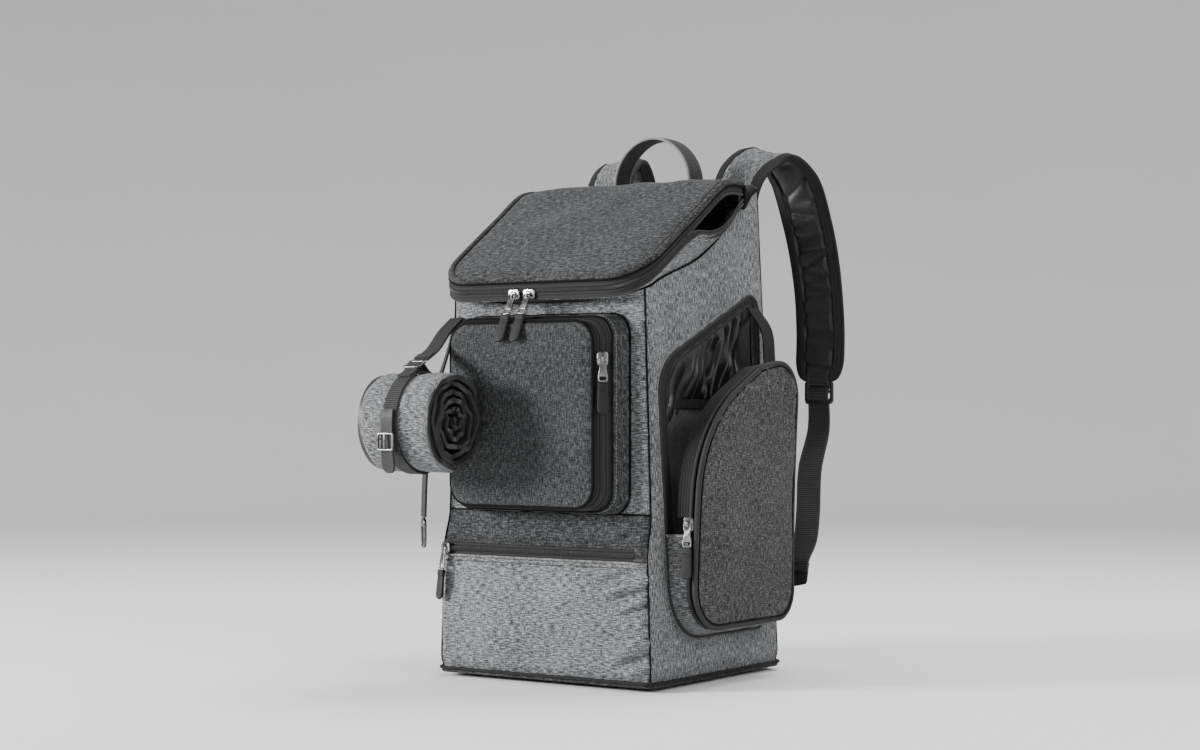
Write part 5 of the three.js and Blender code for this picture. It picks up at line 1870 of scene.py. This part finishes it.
    def door_zip(self) -> None:
        """The door's half of the zip, which stands in from its upper edge."""
        back, top, front = self.door[2:]
        corners = [(84, 240), (back[0] - 1, *back[1:]), top, (front[0] + 1, *front[1:])]
        corners.append((front[0] + 2, self.slider_height + 10.0))
        flat = spaced(rounded(corners, steps=16, ends=True), 200)
        edge = self.reach(flat[:, 1]) - self.pad - 0.4
        first, second = self.world(edge - self.rim, *flat.T), self.world(edge, *flat.T)
        inside = self.world(10.0, 0.0, 150.0)
        sheet("door_tape", between(first, second, 8), TAPE_THICK, Cloth.TAPE, "side_door_zip", inside=inside)
        out = np.cross(self.normal(), tangents(first))
        coil("door_coil", first + out * 0.5, out, 3.2)
        ridge = lerp(first, second, 0.62) + out * 0.5
        stitches("door_tape_stitches", ridge, out, Cloth.THREAD_DARK, slot=Slot.TAPE)

    def stay(self) -> None:
        """The short strap that holds the door's back corner."""
        line = smooth_route([(0.6, 81, 364), (16, 82, 340), (22, 76, 312), (24, 73, 302)], 40)
        side = smooth_route([(0, 1, 0.2), (0.1, 1, 0.3), (0.2, 1, 0.1), (0.2, 1, 0)], 40)
        side = self.world(*side.T) - self.world(0.0, 0.0, 0.0)
        ribbon("stay_web", self.world(*line.T), side, 16.0, 1.6, Cloth.BINDING, "side_stay", slot=Slot.LINING)


@dataclass
class ShoulderStrap:
    """One padded shoulder strap with its buckle, webbing and anchor."""

    name: str
    route: Rows
    width: float = 54.0
    thick: float = 9.0
    web: float = 25.0
    web_thick: float = 2.0
    drop: float = 13.6
    anchor: Row = (146.0, 124.0, 100.0)
    loop_rows: Rows = ((2.2, 8), (2.4, 0), (1.6, -4.5), (-1.4, -6.5), (-2.6, -2), (-2.2, 8))
    tab_corners: Rows = ((-42, -22, 2), (13, -11, 4), (16, 12, 2), (-10, 12, 2), (-42, 4, 2))

    def build(self) -> None:
        """Makes and dresses the strap's pieces."""
        self.pad()
        self.bindings()
        self.root()
        self.buckle()
        self.webbing()
        self.tab()

    def stations(self, count: int) -> tuple[Array, Array, Array, Array]:
        """The strap's line.

        Args:
            count: How many stations.

        Returns:
            The points, the direction of the width, the direction of the underside, and half the width.
        """
        rows = np.array(self.route)
        line = smooth_route(rows[:, :3], count)
        along = tangents(line)
        side = square_to(along, smooth_route(rows[:, 3:], count))
        length = lengths(line)
        tip = 24.0
        ease = np.sqrt(np.clip(1.0 - (1.0 - np.clip((length[-1] - length) / tip, 0.0, 1.0)) ** 2, 0.0, 1.0))
        return line, side, np.cross(along, side), self.width / 2.0 * (0.62 + 0.38 * ease)

    def skin(
        self, count: int, across: Array, low: float, high: float, inset: float = 0.0
    ) -> tuple[Array, Array]:
        """A face of the strap, or a strip of it.

        Args:
            count: Stations along the strap.
            across: Places across it, from -1 to 1.
            low: The face's height at its edges, towards the underside.
            high: Its height in the middle.
            inset: How far it stops short of the strap's edges.

        Returns:
            The points, and their places on the cloth.
        """
        line, side, up, half = self.stations(count)
        lift = lerp(low, high, (1.0 - np.abs(across) ** 5))
        points = line[None] + across[:, None, None] * (half - inset)[None, :, None] * side[None]
        points = points + lift[:, None, None] * up[None]
        return points, table(across[:, None] * half[None], lengths(line)[None])

    def pad(self) -> None:
        """The pad's light cover and its quilted dark underside."""
        t = self.thick / 2.0
        seed = 7 if self.name == "right" else 8
        whole = np.sin(np.linspace(-0.5, 0.5, 30) * np.pi)
        outer, uv = self.skin(170, whole, -0.6, -t + 0.4, 0.4)
        sheet(f"strap_cover_{self.name}", outer, 1.4, Cloth.LIGHT_SIDE, uv=uv, offset=0.0)
        fine = 330
        _, _, below, wide = self.stations(fine)
        inner, uv = self.skin(fine, whole, 0.6, t - 1.6, 0.6)
        across, along = uv[..., 0], uv[..., 1]
        edge = wide[None] - np.abs(across)
        drawn = ripple(across * 0.16, along, 22.0, seed)
        crease = 1.5 - 3.0 * bell(drawn, 0.0, 0.32) + 0.9 * ripple(across * 0.6, along, 26.0, seed + 10)
        puff = smoothstep(edge, 7.0, 12.0) * crease - 2.0 * bell(edge, 9.5, 1.8)
        inner = inner + puff[..., None] * below[None]
        offset = -1.0 if faces_along(inner, below[None]) else 1.0
        node = f"strap_pad_{self.name}"
        made = sheet(f"{node}_quilt", inner, 3.0, Cloth.QUILT, node, uv=uv, offset=offset)

    def bindings(self) -> None:
        """The pad's bound edges, their stitch rows and the sewn box that holds the buckle's loop."""
        t = self.thick / 2.0
        count = 170
        line, side, up, half = self.stations(count)
        reach = side * (half - 0.2)[:, None]
        outline = spaced(np.vstack([line + reach, (line - reach)[::-1]]), 380)
        cord(f"strap_edge_{self.name}", outline, t * 0.55, Cloth.BINDING)
        for part, sign in (("near", 1.0), ("far", -1.0)):
            for face, low, high in (("under", 1.2, t), ("over", -1.2, -t - 0.6)):
                end = f"{face}_{part}_{self.name}"
                bound, uv = self.skin(count, sign * np.linspace(0.7, 1.0, 7), low, high)
                sheet(f"strap_binding_{end}", bound, 1.2, Cloth.BINDING, uv=uv, offset=0.0)
                row, _ = self.skin(count, np.array([sign * 0.75]), low * 1.4, high * 1.17)
                away = up * np.sign(high)
                stitches(f"strap_stitches_{end}", row[0], away, Cloth.THREAD_DARK, slot=Slot.WEB)
        at = count - 12
        flat = spaced(rectangle(11.0, 7.0, 0.5, 1), 60, True)
        box = line[at] + flat[:, :1] * side[at] - flat[:, 1:] * tangents(line)[at] + up[at] * (t + 0.2)
        stitches(f"strap_box_{self.name}", box, up[at], Cloth.THREAD_DARK, True, 2.6, Slot.WEB)

    def root(self) -> None:
        """The thick sewn end on the bag's back."""
        line, side, _, _ = self.stations(170)
        along = tangents(line)[0]
        root = plate("root", rectangle(self.width / 2.0 + 1.0, 6.0, 2.0), self.thick + 1.0, 1.6, segments=3)
        home = basis(side[0], along, np.cross(side[0], along), line[0] + along * 3.0)
        fitting(f"strap_root_{self.name}", [root], home, Cloth.BINDING)

    def end(self) -> tuple[Array, float]:
        """The pad's end and the side that it is on."""
        point = np.array(self.route[-1][:3])
        return point, float(np.sign(point[0]))

    def buckle(self) -> None:
        """The ladder buckle under the pad."""
        x, y, z = self.end()[0]
        parts = [
            plate("ladder", rectangle(17.0, 13.0, 5.0), 4.0, 1.1, [rectangle(13.5, 7.5, 2.0)], 3),
            plate("ladder_bar", rectangle(14.2, 1.7, 0.6), 3.4, 0.7, at=(0.0, 0.6, 0.8)),
            plate("ladder_grip", rectangle(15.0, 2.0, 1.0), 3.0, 0.9, at=(0.0, -10.6, 1.6)),
        ]
        node = f"strap_buckle_{self.name}"
        fitting(f"ladder_buckle_{self.name}", parts, upright((x, y, z - self.drop)), Cloth.PLASTIC, node)

    def webbing(self) -> None:
        """The webbing from the buckle to the anchor, and its loop on the pad."""
        (x, y, z), s = self.end()
        top = z - self.drop - 13.0 - 0.8
        ax, ay, az = self.anchor
        rows = np.array([
            (x, y + 1.5, top + 21, 1, 0, 0),
            (x, y - 3.6, top + 12, 1, 0, 0),
            (x, y - 0.5, top - 1, 1, 0, 0),
            (x + s, y - 3, top - 26, 1, 0.1 * s, 0),
            (lerp(x, s * ax, 0.4), 174, 205, 1, 0.4 * s, 0),
            (s * (ax - 2), 152, 160, 0.9, 0.4 * s, 0),
            (s * (ax + 3), 137, 132, 1, 0.2 * s, 0),
            (s * (ax + 3), ay - 1, az + 13.2, 1, 0, 0),
            (s * (ax + 3), ay - 4, az + 2, 1, 0, 0),
        ])
        line, side = smooth_route(rows[:, :3], 120), smooth_route(rows[:, 3:], 120)
        name, node = f"strap_webbing_{self.name}", f"strap_web_{self.name}"
        ribbon(name, line, side, self.web, self.web_thick, Cloth.WEB, node)
        loop = smooth_route([(x, y + dy, z + dz) for dy, dz in self.loop_rows], 50)
        ribbon(f"buckle_loop_{self.name}", loop, ACROSS, self.web, 1.6, Cloth.WEB)

    def tab(self) -> None:
        """The sewn tab that anchors the webbing at the bag's lower corner."""
        _, s = self.end()
        ax, ay, az = self.anchor
        made = plate("tab", rounded(self.tab_corners, steps=4), 3.0, 0.8)
        home = basis((s, 0, 0), (0, 0, 1), (0, -s, 0), (s * ax, ay - 1.5, az))
        fitting(f"strap_tab_{self.name}", [made], home, Cloth.BINDING, f"strap_anchor_{self.name}")


@dataclass
class ChangingMat:
    """The rolled mat on the bag's left front, with its strap, hanger and clip strap."""

    y: float = -200.0
    z: float = 257.0
    radius: float = 49.0
    squash: float = 0.9
    left: float = -130.0
    right: float = -45.0
    wall: float = 7.0
    turns: float = 5.5
    core: float = 6.0
    strap_x: float = -90.0
    strap_width: float = 16.0
    tab_rows: Rows = ((-0.5, 12), (-1.6, -4), (-0.6, -28), (2.5, -49))
    hanger_rows: Rows = (
        (-92, -195, 7.6), (-95, -183, 12), (-101, -163, 20), (-108, -136, 38), (-109.5, -115.3, 51),
    )
    loop_rows: Rows = (
        (-222, -7.5), (-213, -3.5), (-207, 2.4), (-202.5, 5.2), (-198, 2.4), (-191, -3.5), (-180, -7.0),
    )
    clip_rows: Rows = (
        (-117, -110.5, 357, 0.7, -0.7, 0), (-121, -114.4, 330, 0.7, -0.7, 0), (-134, -126, 270, 0.8, -0.6, 0),
        (-139, -130, 200, 0.8, -0.6, 0), (-140, -131, 160, 0.8, -0.6, 0),
    )

    def build(self) -> None:
        """Makes and dresses the mat's pieces."""
        self.roll()
        self.cover()
        self.strap()
        self.hanger()
        self.clip()

    def around(self, radius: Any, angle: Any, x: Any) -> Array:
        """A place on the roll, at an angle from straight down."""
        return table(x, self.y + np.sin(angle) * radius * self.squash, self.z - np.cos(angle) * radius)

    def spiral(self, angle: Any) -> Any:
        """The roll's radius at an angle that counts every turn, ending at the bottom."""
        share = 1.0 - (self.last() - angle) / (TURN * self.turns)
        return lerp(self.core, self.radius, 1.0 - (1.0 - share) ** 1.25)

    def last(self) -> float:
        """The angle at which the roll ends."""
        return TURN * math.ceil(self.turns)

    def lies(self, points: Array) -> float:
        """Which way a layer's thickness goes, so that it lies towards the roll's middle."""
        return -1.0 if faces_along(points, (points - (0.0, self.y, self.z)) * (0.0, 1.0, 1.0)) else 1.0

    def both_ends(self, x: Array, width: float) -> Array:
        """A bump at both ends of the roll."""
        return bell(x, self.right, width) + bell(x, self.left, width)

    def roll(self) -> None:
        """The dark rolled layers, which are uneven at the roll's ends."""
        end = self.last()
        angle = np.linspace(end - TURN * self.turns, end, 900)[:, None]
        x = np.linspace(self.left, self.right, 22)[None]
        wave = 1.3 * np.sin(4.3 * angle + 1.7 * np.sin(1.3 * angle))
        wave = wave + 0.5 * np.sin(13.7 * angle + 2.0 * np.sin(0.7 * angle))
        wave = wave * self.both_ends(x, 8.0) * smoothstep(end - angle, 6.4, 10.0)
        wave = wave * (self.spiral(angle) / self.radius) ** 0.5
        slip = 2.6 + 2.2 * np.sin(1.7 * angle) + 1.2 * np.sin(7.1 * angle)
        slip = slip * (x - self.left) / (self.right - self.left)
        points = self.around(self.spiral(angle) - 1.6 + wave, angle, x + slip - 2.2)
        thick, offset = self.wall - 2.6, self.lies(points)
        made = sheet("mat_layers", points, thick, Cloth.QUILT, "changing_mat", offset=offset, slot=Slot.LIGHT)

    def cover(self) -> None:
        """The light outer layer, drawn in at the strap, its bound edge and the roll's core."""
        last = np.linspace(self.last() - TURN * 1.04, self.last(), 150)[:, None]
        x = np.linspace(self.left, self.right, 44)[None]
        waist = 1.6 * bell(x, self.strap_x, 9.0)
        dimple = 0.9 * ripple(x + 0.0 * last, self.radius * last, 30.0, 121)
        dimple = dimple * (1.0 - np.clip(waist, 0.0, 1.0))
        points = self.around(self.spiral(last) - 2.4 * self.both_ends(x, 3.0) - waist + dimple, last, x)
        sheet("mat_cover", points, 2.2, Cloth.LIGHT_SIDE, offset=self.lies(points))
        edge = self.around(self.spiral(last[:, 0]) - 3.6, last[:, 0], self.right - 0.4)
        cord("mat_edge", edge, 1.7, Cloth.BINDING, slot=Slot.LIGHT)
        turn = np.linspace(0.0, TURN, 49)[:-1]
        oval = table(np.sin(turn) * self.squash, np.cos(turn)) * (self.radius - 7.0)
        core = plate("core", oval, (self.right - self.left) * 0.6, 6.0, segments=3)
        home = basis((0, 1, 0), (0, 0, 1), ACROSS, ((self.left + self.right) / 2.0, self.y, self.z))
        fitting("mat_filling", [core], home, Cloth.QUILT, degrees=50.0, slot=Slot.LIGHT)

    def strap(self) -> None:
        """The webbing round the roll, with its leather tab and frame buckle."""
        angle = np.linspace(0.0, TURN, 140)
        hug = self.spiral(angle + self.last() - TURN)
        line = self.around(lerp(self.radius, hug, smoothstep(angle, 0.0, 0.55)) + 1.2, angle, self.strap_x)
        ribbon("mat_strap_web", line, ACROSS, self.strap_width, 1.8, Cloth.WEB, "mat_strap")
        front = self.y - (self.radius + 2.6) * self.squash
        route = smooth_route([(self.strap_x, front + dy, self.z + dz) for dy, dz in self.tab_rows], 60)
        share = np.clip((np.linspace(0.0, 1.0, 60) - 0.86) / 0.14, 0.0, 1.0)
        width = 14.0 * (0.3 + 0.7 * np.sqrt(np.clip(1.0 - share**2, 0.0, 1.0)))
        ribbon("mat_tab", route, ACROSS, width, 2.2, Cloth.LEATHER, "mat_strap_tab", crown=-0.3)
        ribbon("mat_tab_fold", route[3:12] - (0.0, 0.9, 0.0), ACROSS, 14.8, 1.8, Cloth.LEATHER, columns=5)
        parts = [
            plate("frame", rectangle(10.5, 9.0, 2.5), 2.2, 0.8, [rectangle(8.0, 6.5, 1.5)], 3),
            plate("prong", rectangle(1.0, 7.6, 0.9), 1.4, 0.5, at=(0.0, 0.4, 1.3)),
        ]
        home = upright((self.strap_x, front - 3.9, self.z - 19.0))
        fitting("mat_frame_buckle", parts, home, Cloth.GUNMETAL, "mat_buckle")

    def hanger(self) -> None:
        """The hanger from the bag's top corner to the roll's ring."""
        top = self.z + self.radius + 3.0
        line = smooth_route([(x, y, top + z) for x, y, z in self.hanger_rows], 70)
        ribbon("mat_hanger_web", line, ACROSS, 16.0, 2.2, Cloth.WEB, "mat_hanger")
        ribbon("mat_hanger_fold", line[4:20] + (0.0, 0.0, 1.8), ACROSS, 16.4, 1.6, Cloth.WEB)
        ring = plate("ring", rectangle(10.5, 7.0, 2.5), 2.4, 0.9, [rectangle(8.0, 4.5, 1.5)], 3)
        tilt = Matrix.Rotation(math.radians(-62.0), 4, "X") @ upright((0, -1.2, 0))
        home = Matrix.Translation((-92.0, -203.0, top + 2.6)) @ tilt
        fitting("hanger_ring", [ring], home, Cloth.GUNMETAL, "mat_hanger_ring")
        loop = smooth_route([(-91.0, y, top + z) for y, z in self.loop_rows], 60)
        ribbon("mat_ring_loop", loop, ACROSS, 15.0, 1.6, Cloth.WEB)

    def clip(self) -> None:
        """The clip strap beside the roll, with its snap hook."""
        rows = np.array(self.clip_rows)
        line, side = smooth_route(rows[:, :3], 80), smooth_route(rows[:, 3:], 80)
        ribbon("clip_web", line, side, 16.0, 2.0, Cloth.WEB, "clip_strap")
        eye = rectangle(4.0, 9.5, 3.8, 8) + (0.0, -3.0)
        hook = plate("hook", rectangle(7.0, 15.5, 6.5, 10), 3.2, 1.2, [eye], 3)
        turn = Matrix.Rotation(math.radians(-37.0), 4, "Z") @ upright((0, 0, -15.5))
        home = Matrix.Translation((-140.0, -131.0, 159.6)) @ turn
        fitting("snap_hook", [hook], home, Cloth.GUNMETAL, "clip_hook")


@dataclass
class ZipPull:
    """A zip slider with its metal pull and rubber tab, which swing on a cross-bar."""

    name: str
    place: Row
    yaw: float
    lean: float
    tall: bool = False
    length: float = 22.0
    tab_length: float = 30.0
    tab_width: float = 11.5
    arch: Rows = ((-3.2, -0.4), (-3.2, 2.6), (-2.2, 4.0), (2.2, 4.0), (3.2, 2.6), (3.2, -0.4))
    slot: Rows = ((2.0, -0.4), (2.0, 2.4), (1.4, 2.9), (-1.4, 2.9), (-2.0, 2.4), (-2.0, -0.4))
    bell_rows: Rows = (
        (2.4, 0.8), (3.7, 0.1), (4.0, -1.4), (3.9, -4.4), (3.3, -6.4), (3.2, -9.0),
        (3.8, -12.4), (4.6, -15.6), (4.9, -18.6), (4.8, -20.8), (3.6, -22.0),
    )

    def build(self) -> None:
        """Makes and dresses the slider, the pull and the tab."""
        self.slider()
        self.pull()
        self.tab()

    def home(self, swings: bool) -> Matrix:
        """The slider's place, or the hanging pull's."""
        at = Matrix.Translation(self.place) @ Matrix.Rotation(math.radians(self.yaw), 4, "Z")
        if swings:
            at = at @ Matrix.Rotation(math.radians(-self.lean), 4, "X")
        return at @ upright((0, 0, 0))

    def slider(self) -> None:
        """The rounded slider body with its bridge."""
        w, h = (5.4, 7.0) if self.tall else (7.0, 5.4)
        body = plate("slider", rectangle(w, h, 3.4, 8), 2.7, 1.0, segments=3, at=(0.0, 0.0, -2.85))
        bridge = plate("slider_bridge", np.array(self.arch + self.slot), 2.4, 0.5)
        bridge.data.transform(basis((0, 1, 0), (0, 0, 1), ACROSS, (0, 0, -1.5)))
        node = f"{self.name}_slider"
        fitting(f"{node}_body", [body, bridge], self.home(False), Cloth.STEEL, node)

    def pull(self) -> None:
        """The bell-shaped metal pull with its eye and window."""
        right = np.array(self.bell_rows)
        outline = np.vstack([right, right[::-1] * (-1, 1)])
        holes = [rectangle(2.5, 1.9, 0.7, 3) + (0.0, -2.7), rectangle(3.3, 1.7, 0.5, 3) + (0.0, -18.6)]
        made = plate("pull", outline, 1.6, 0.5, holes, 3)
        node = f"{self.name}_pull"
        fitting(f"{node}_plate", [made], self.home(True), Cloth.STEEL, node, body=f"{self.name}_zip_pull")

    def tab(self) -> None:
        """The rubber tab, folded through the pull's window."""
        high, w = -self.length - 0.4, self.tab_width / 2.0
        corners = [(-0.82 * w, high, 1.2), (-w, high - self.tab_length, 0.95 * w)]
        corners += [(w, high - self.tab_length, 0.95 * w), (0.82 * w, high, 1.2)]
        fold = rectangle(0.84 * w, 3.2, 1.0, 4)
        parts = [
            plate("tab_body", rounded(corners, steps=8), 3.0, 1.1, segments=3),
            plate("tab_fold", fold, 4.4, 1.5, segments=3, at=(0.0, high - 3.2, 0.0)),
            plate("tab_rib", rectangle(0.6 * w, 0.5, 0.4, 3), 3.9, 0.3, at=(0.0, high - 8.4, 0.0)),
        ]
        name, node, body = (f"{self.name}_{end}" for end in ("rubber_tab", "tab", "zip_pull"))
        fitting(name, parts, self.home(True), Cloth.RUBBER, node, degrees=45.0, body=body)


@dataclass
class Studio:
    """The pale floor, the soft lights and the camera at the photograph's angle."""

    lens: float = 67.5
    sensor: float = 36.0
    camera: Row = (1299.9, -1897.8, 277.0)
    heading: float = 34.7
    shift_y: float = 0.0217
    floor: float = 24.0
    sweep: float = 5.0
    world: float = 0.5
    paper: Paper = Paper("studio_paper", (0.985 * 0.86, 0.86))

    def build(self) -> None:
        """Makes the floor, the lights, the world and the camera."""
        self.ground()
        self.light("key", (-1.9, -2.1, 0.9), 0.7, 165.0)
        self.light("fill", (2.2, -0.3, 1.3), 1.1, 30.0)
        self.light("top", (0.2, 0.9, 2.2), 1.2, 45.0)
        self.sky()
        self.eye()

    def ground(self) -> None:
        """The floor, raised into a soft sweep behind the bag."""
        clear()
        bpy.ops.mesh.primitive_grid_add(x_subdivisions=120, y_subdivisions=120, size=self.floor)
        made = named("studio_floor")
        flat = np.array([vertex.co[:] for vertex in made.data.vertices])
        flat[:, 2] = self.sweep * smoothstep(np.hypot(flat[:, 0], flat[:, 1]), 3.0, 10.0)
        put_points(made, flat)
        bpy.ops.object.shade_smooth()
        made.data.materials.append(self.paper.material())

    def light(self, name: str, place: Row, size: float, power: float) -> None:
        """A square soft light that faces the bag.

        Args:
            name: The light's name.
            place: Where it stands, in metres.
            size: The length of its side.
            power: Its power in watts.
        """
        data = bpy.data.lights.new(name, "AREA")
        data.size = size
        data.energy = power
        lamp = linked(name, data)
        lamp.location = place
        aim = Matrix.Translation((0.0, 0.0, 0.25)).translation - lamp.location
        lamp.rotation_euler = aim.to_track_quat("-Z", "Y").to_euler()

    def sky(self) -> None:
        """The even light from all round."""
        world = bpy.data.worlds.new("studio")
        world.use_nodes = True
        inputs = world.node_tree.nodes["Background"].inputs
        inputs["Color"].default_value = (1.0, 1.0, 1.0, 1.0)
        inputs["Strength"].default_value = self.world
        bpy.context.scene.world = world

    def eye(self) -> None:
        """The camera."""
        data = bpy.data.cameras.new("camera")
        data.lens = self.lens
        data.sensor_width = self.sensor
        data.shift_y = self.shift_y
        camera = linked("camera", data)
        camera.location = placed(self.camera).tolist()
        camera.rotation_euler = (math.radians(90.0), 0.0, math.radians(self.heading))
        bpy.context.scene.camera = camera


RIGHT_ROUTE = (
    (76, 114.2, 452, 1, 0, 0), (76, 113.4, 482, 1, 0, 0), (80, 131, 519, 1, 0, -0.2),
    (91, 164, 536, 1, 0.1, -0.25), (104, 190, 514, 1, 0.1, -0.2), (114, 204, 466, 1, 0.05, -0.1),
    (122, 210, 410, 1, 0, 0), (126, 211, 350, 1, 0, 0), (126, 208, 300, 1, 0, 0),
)
LEFT_ROUTE = (
    (-82, 114.2, 452, 1, 0, 0), (-83, 113.4, 482, 1, 0, 0), (-89, 131, 519, 1, 0, 0.05),
    (-96, 164, 537, 1, 0, 0.1), (-100, 190, 514, 1, 0, 0.1), (-104, 204, 466, 1, 0, 0.05),
    (-108, 210, 410, 1, 0, 0), (-112, 211, 350, 1, 0, 0), (-113, 208, 300, 1, 0, 0),
)
PULLS = (
    ZipPull("lid_left", (-22, -138.7, 381), 0, 27),
    ZipPull("lid_right", (-4, -138.7, 381), 0, 27),
    ZipPull("front", (90.6, -146.6, 317), 40, 2, True),
    ZipPull("lower", (-117, -127.6, 130), -20, 6),
    ZipPull("side", (153, -95.6, 160), 8, 4, True),
)


def main() -> None:
    """Builds the studio and the bag's sub-assemblies in order."""
    logging.basicConfig(level=logging.INFO, format="%(name)s %(message)s")
    clear()
    assemblies = [
        Studio(),
        Body(),
        Lid(),
        FrontPocket(),
        SideCompartment(),
        ShoulderStrap("right", RIGHT_ROUTE),
        ShoulderStrap("left", LEFT_ROUTE),
        ChangingMat(),
        *PULLS,
    ]
    for assembly in assemblies:
        LOG.info("building %s", type(assembly).__name__)
        assembly.build()


if __name__ == "__main__":
    main()
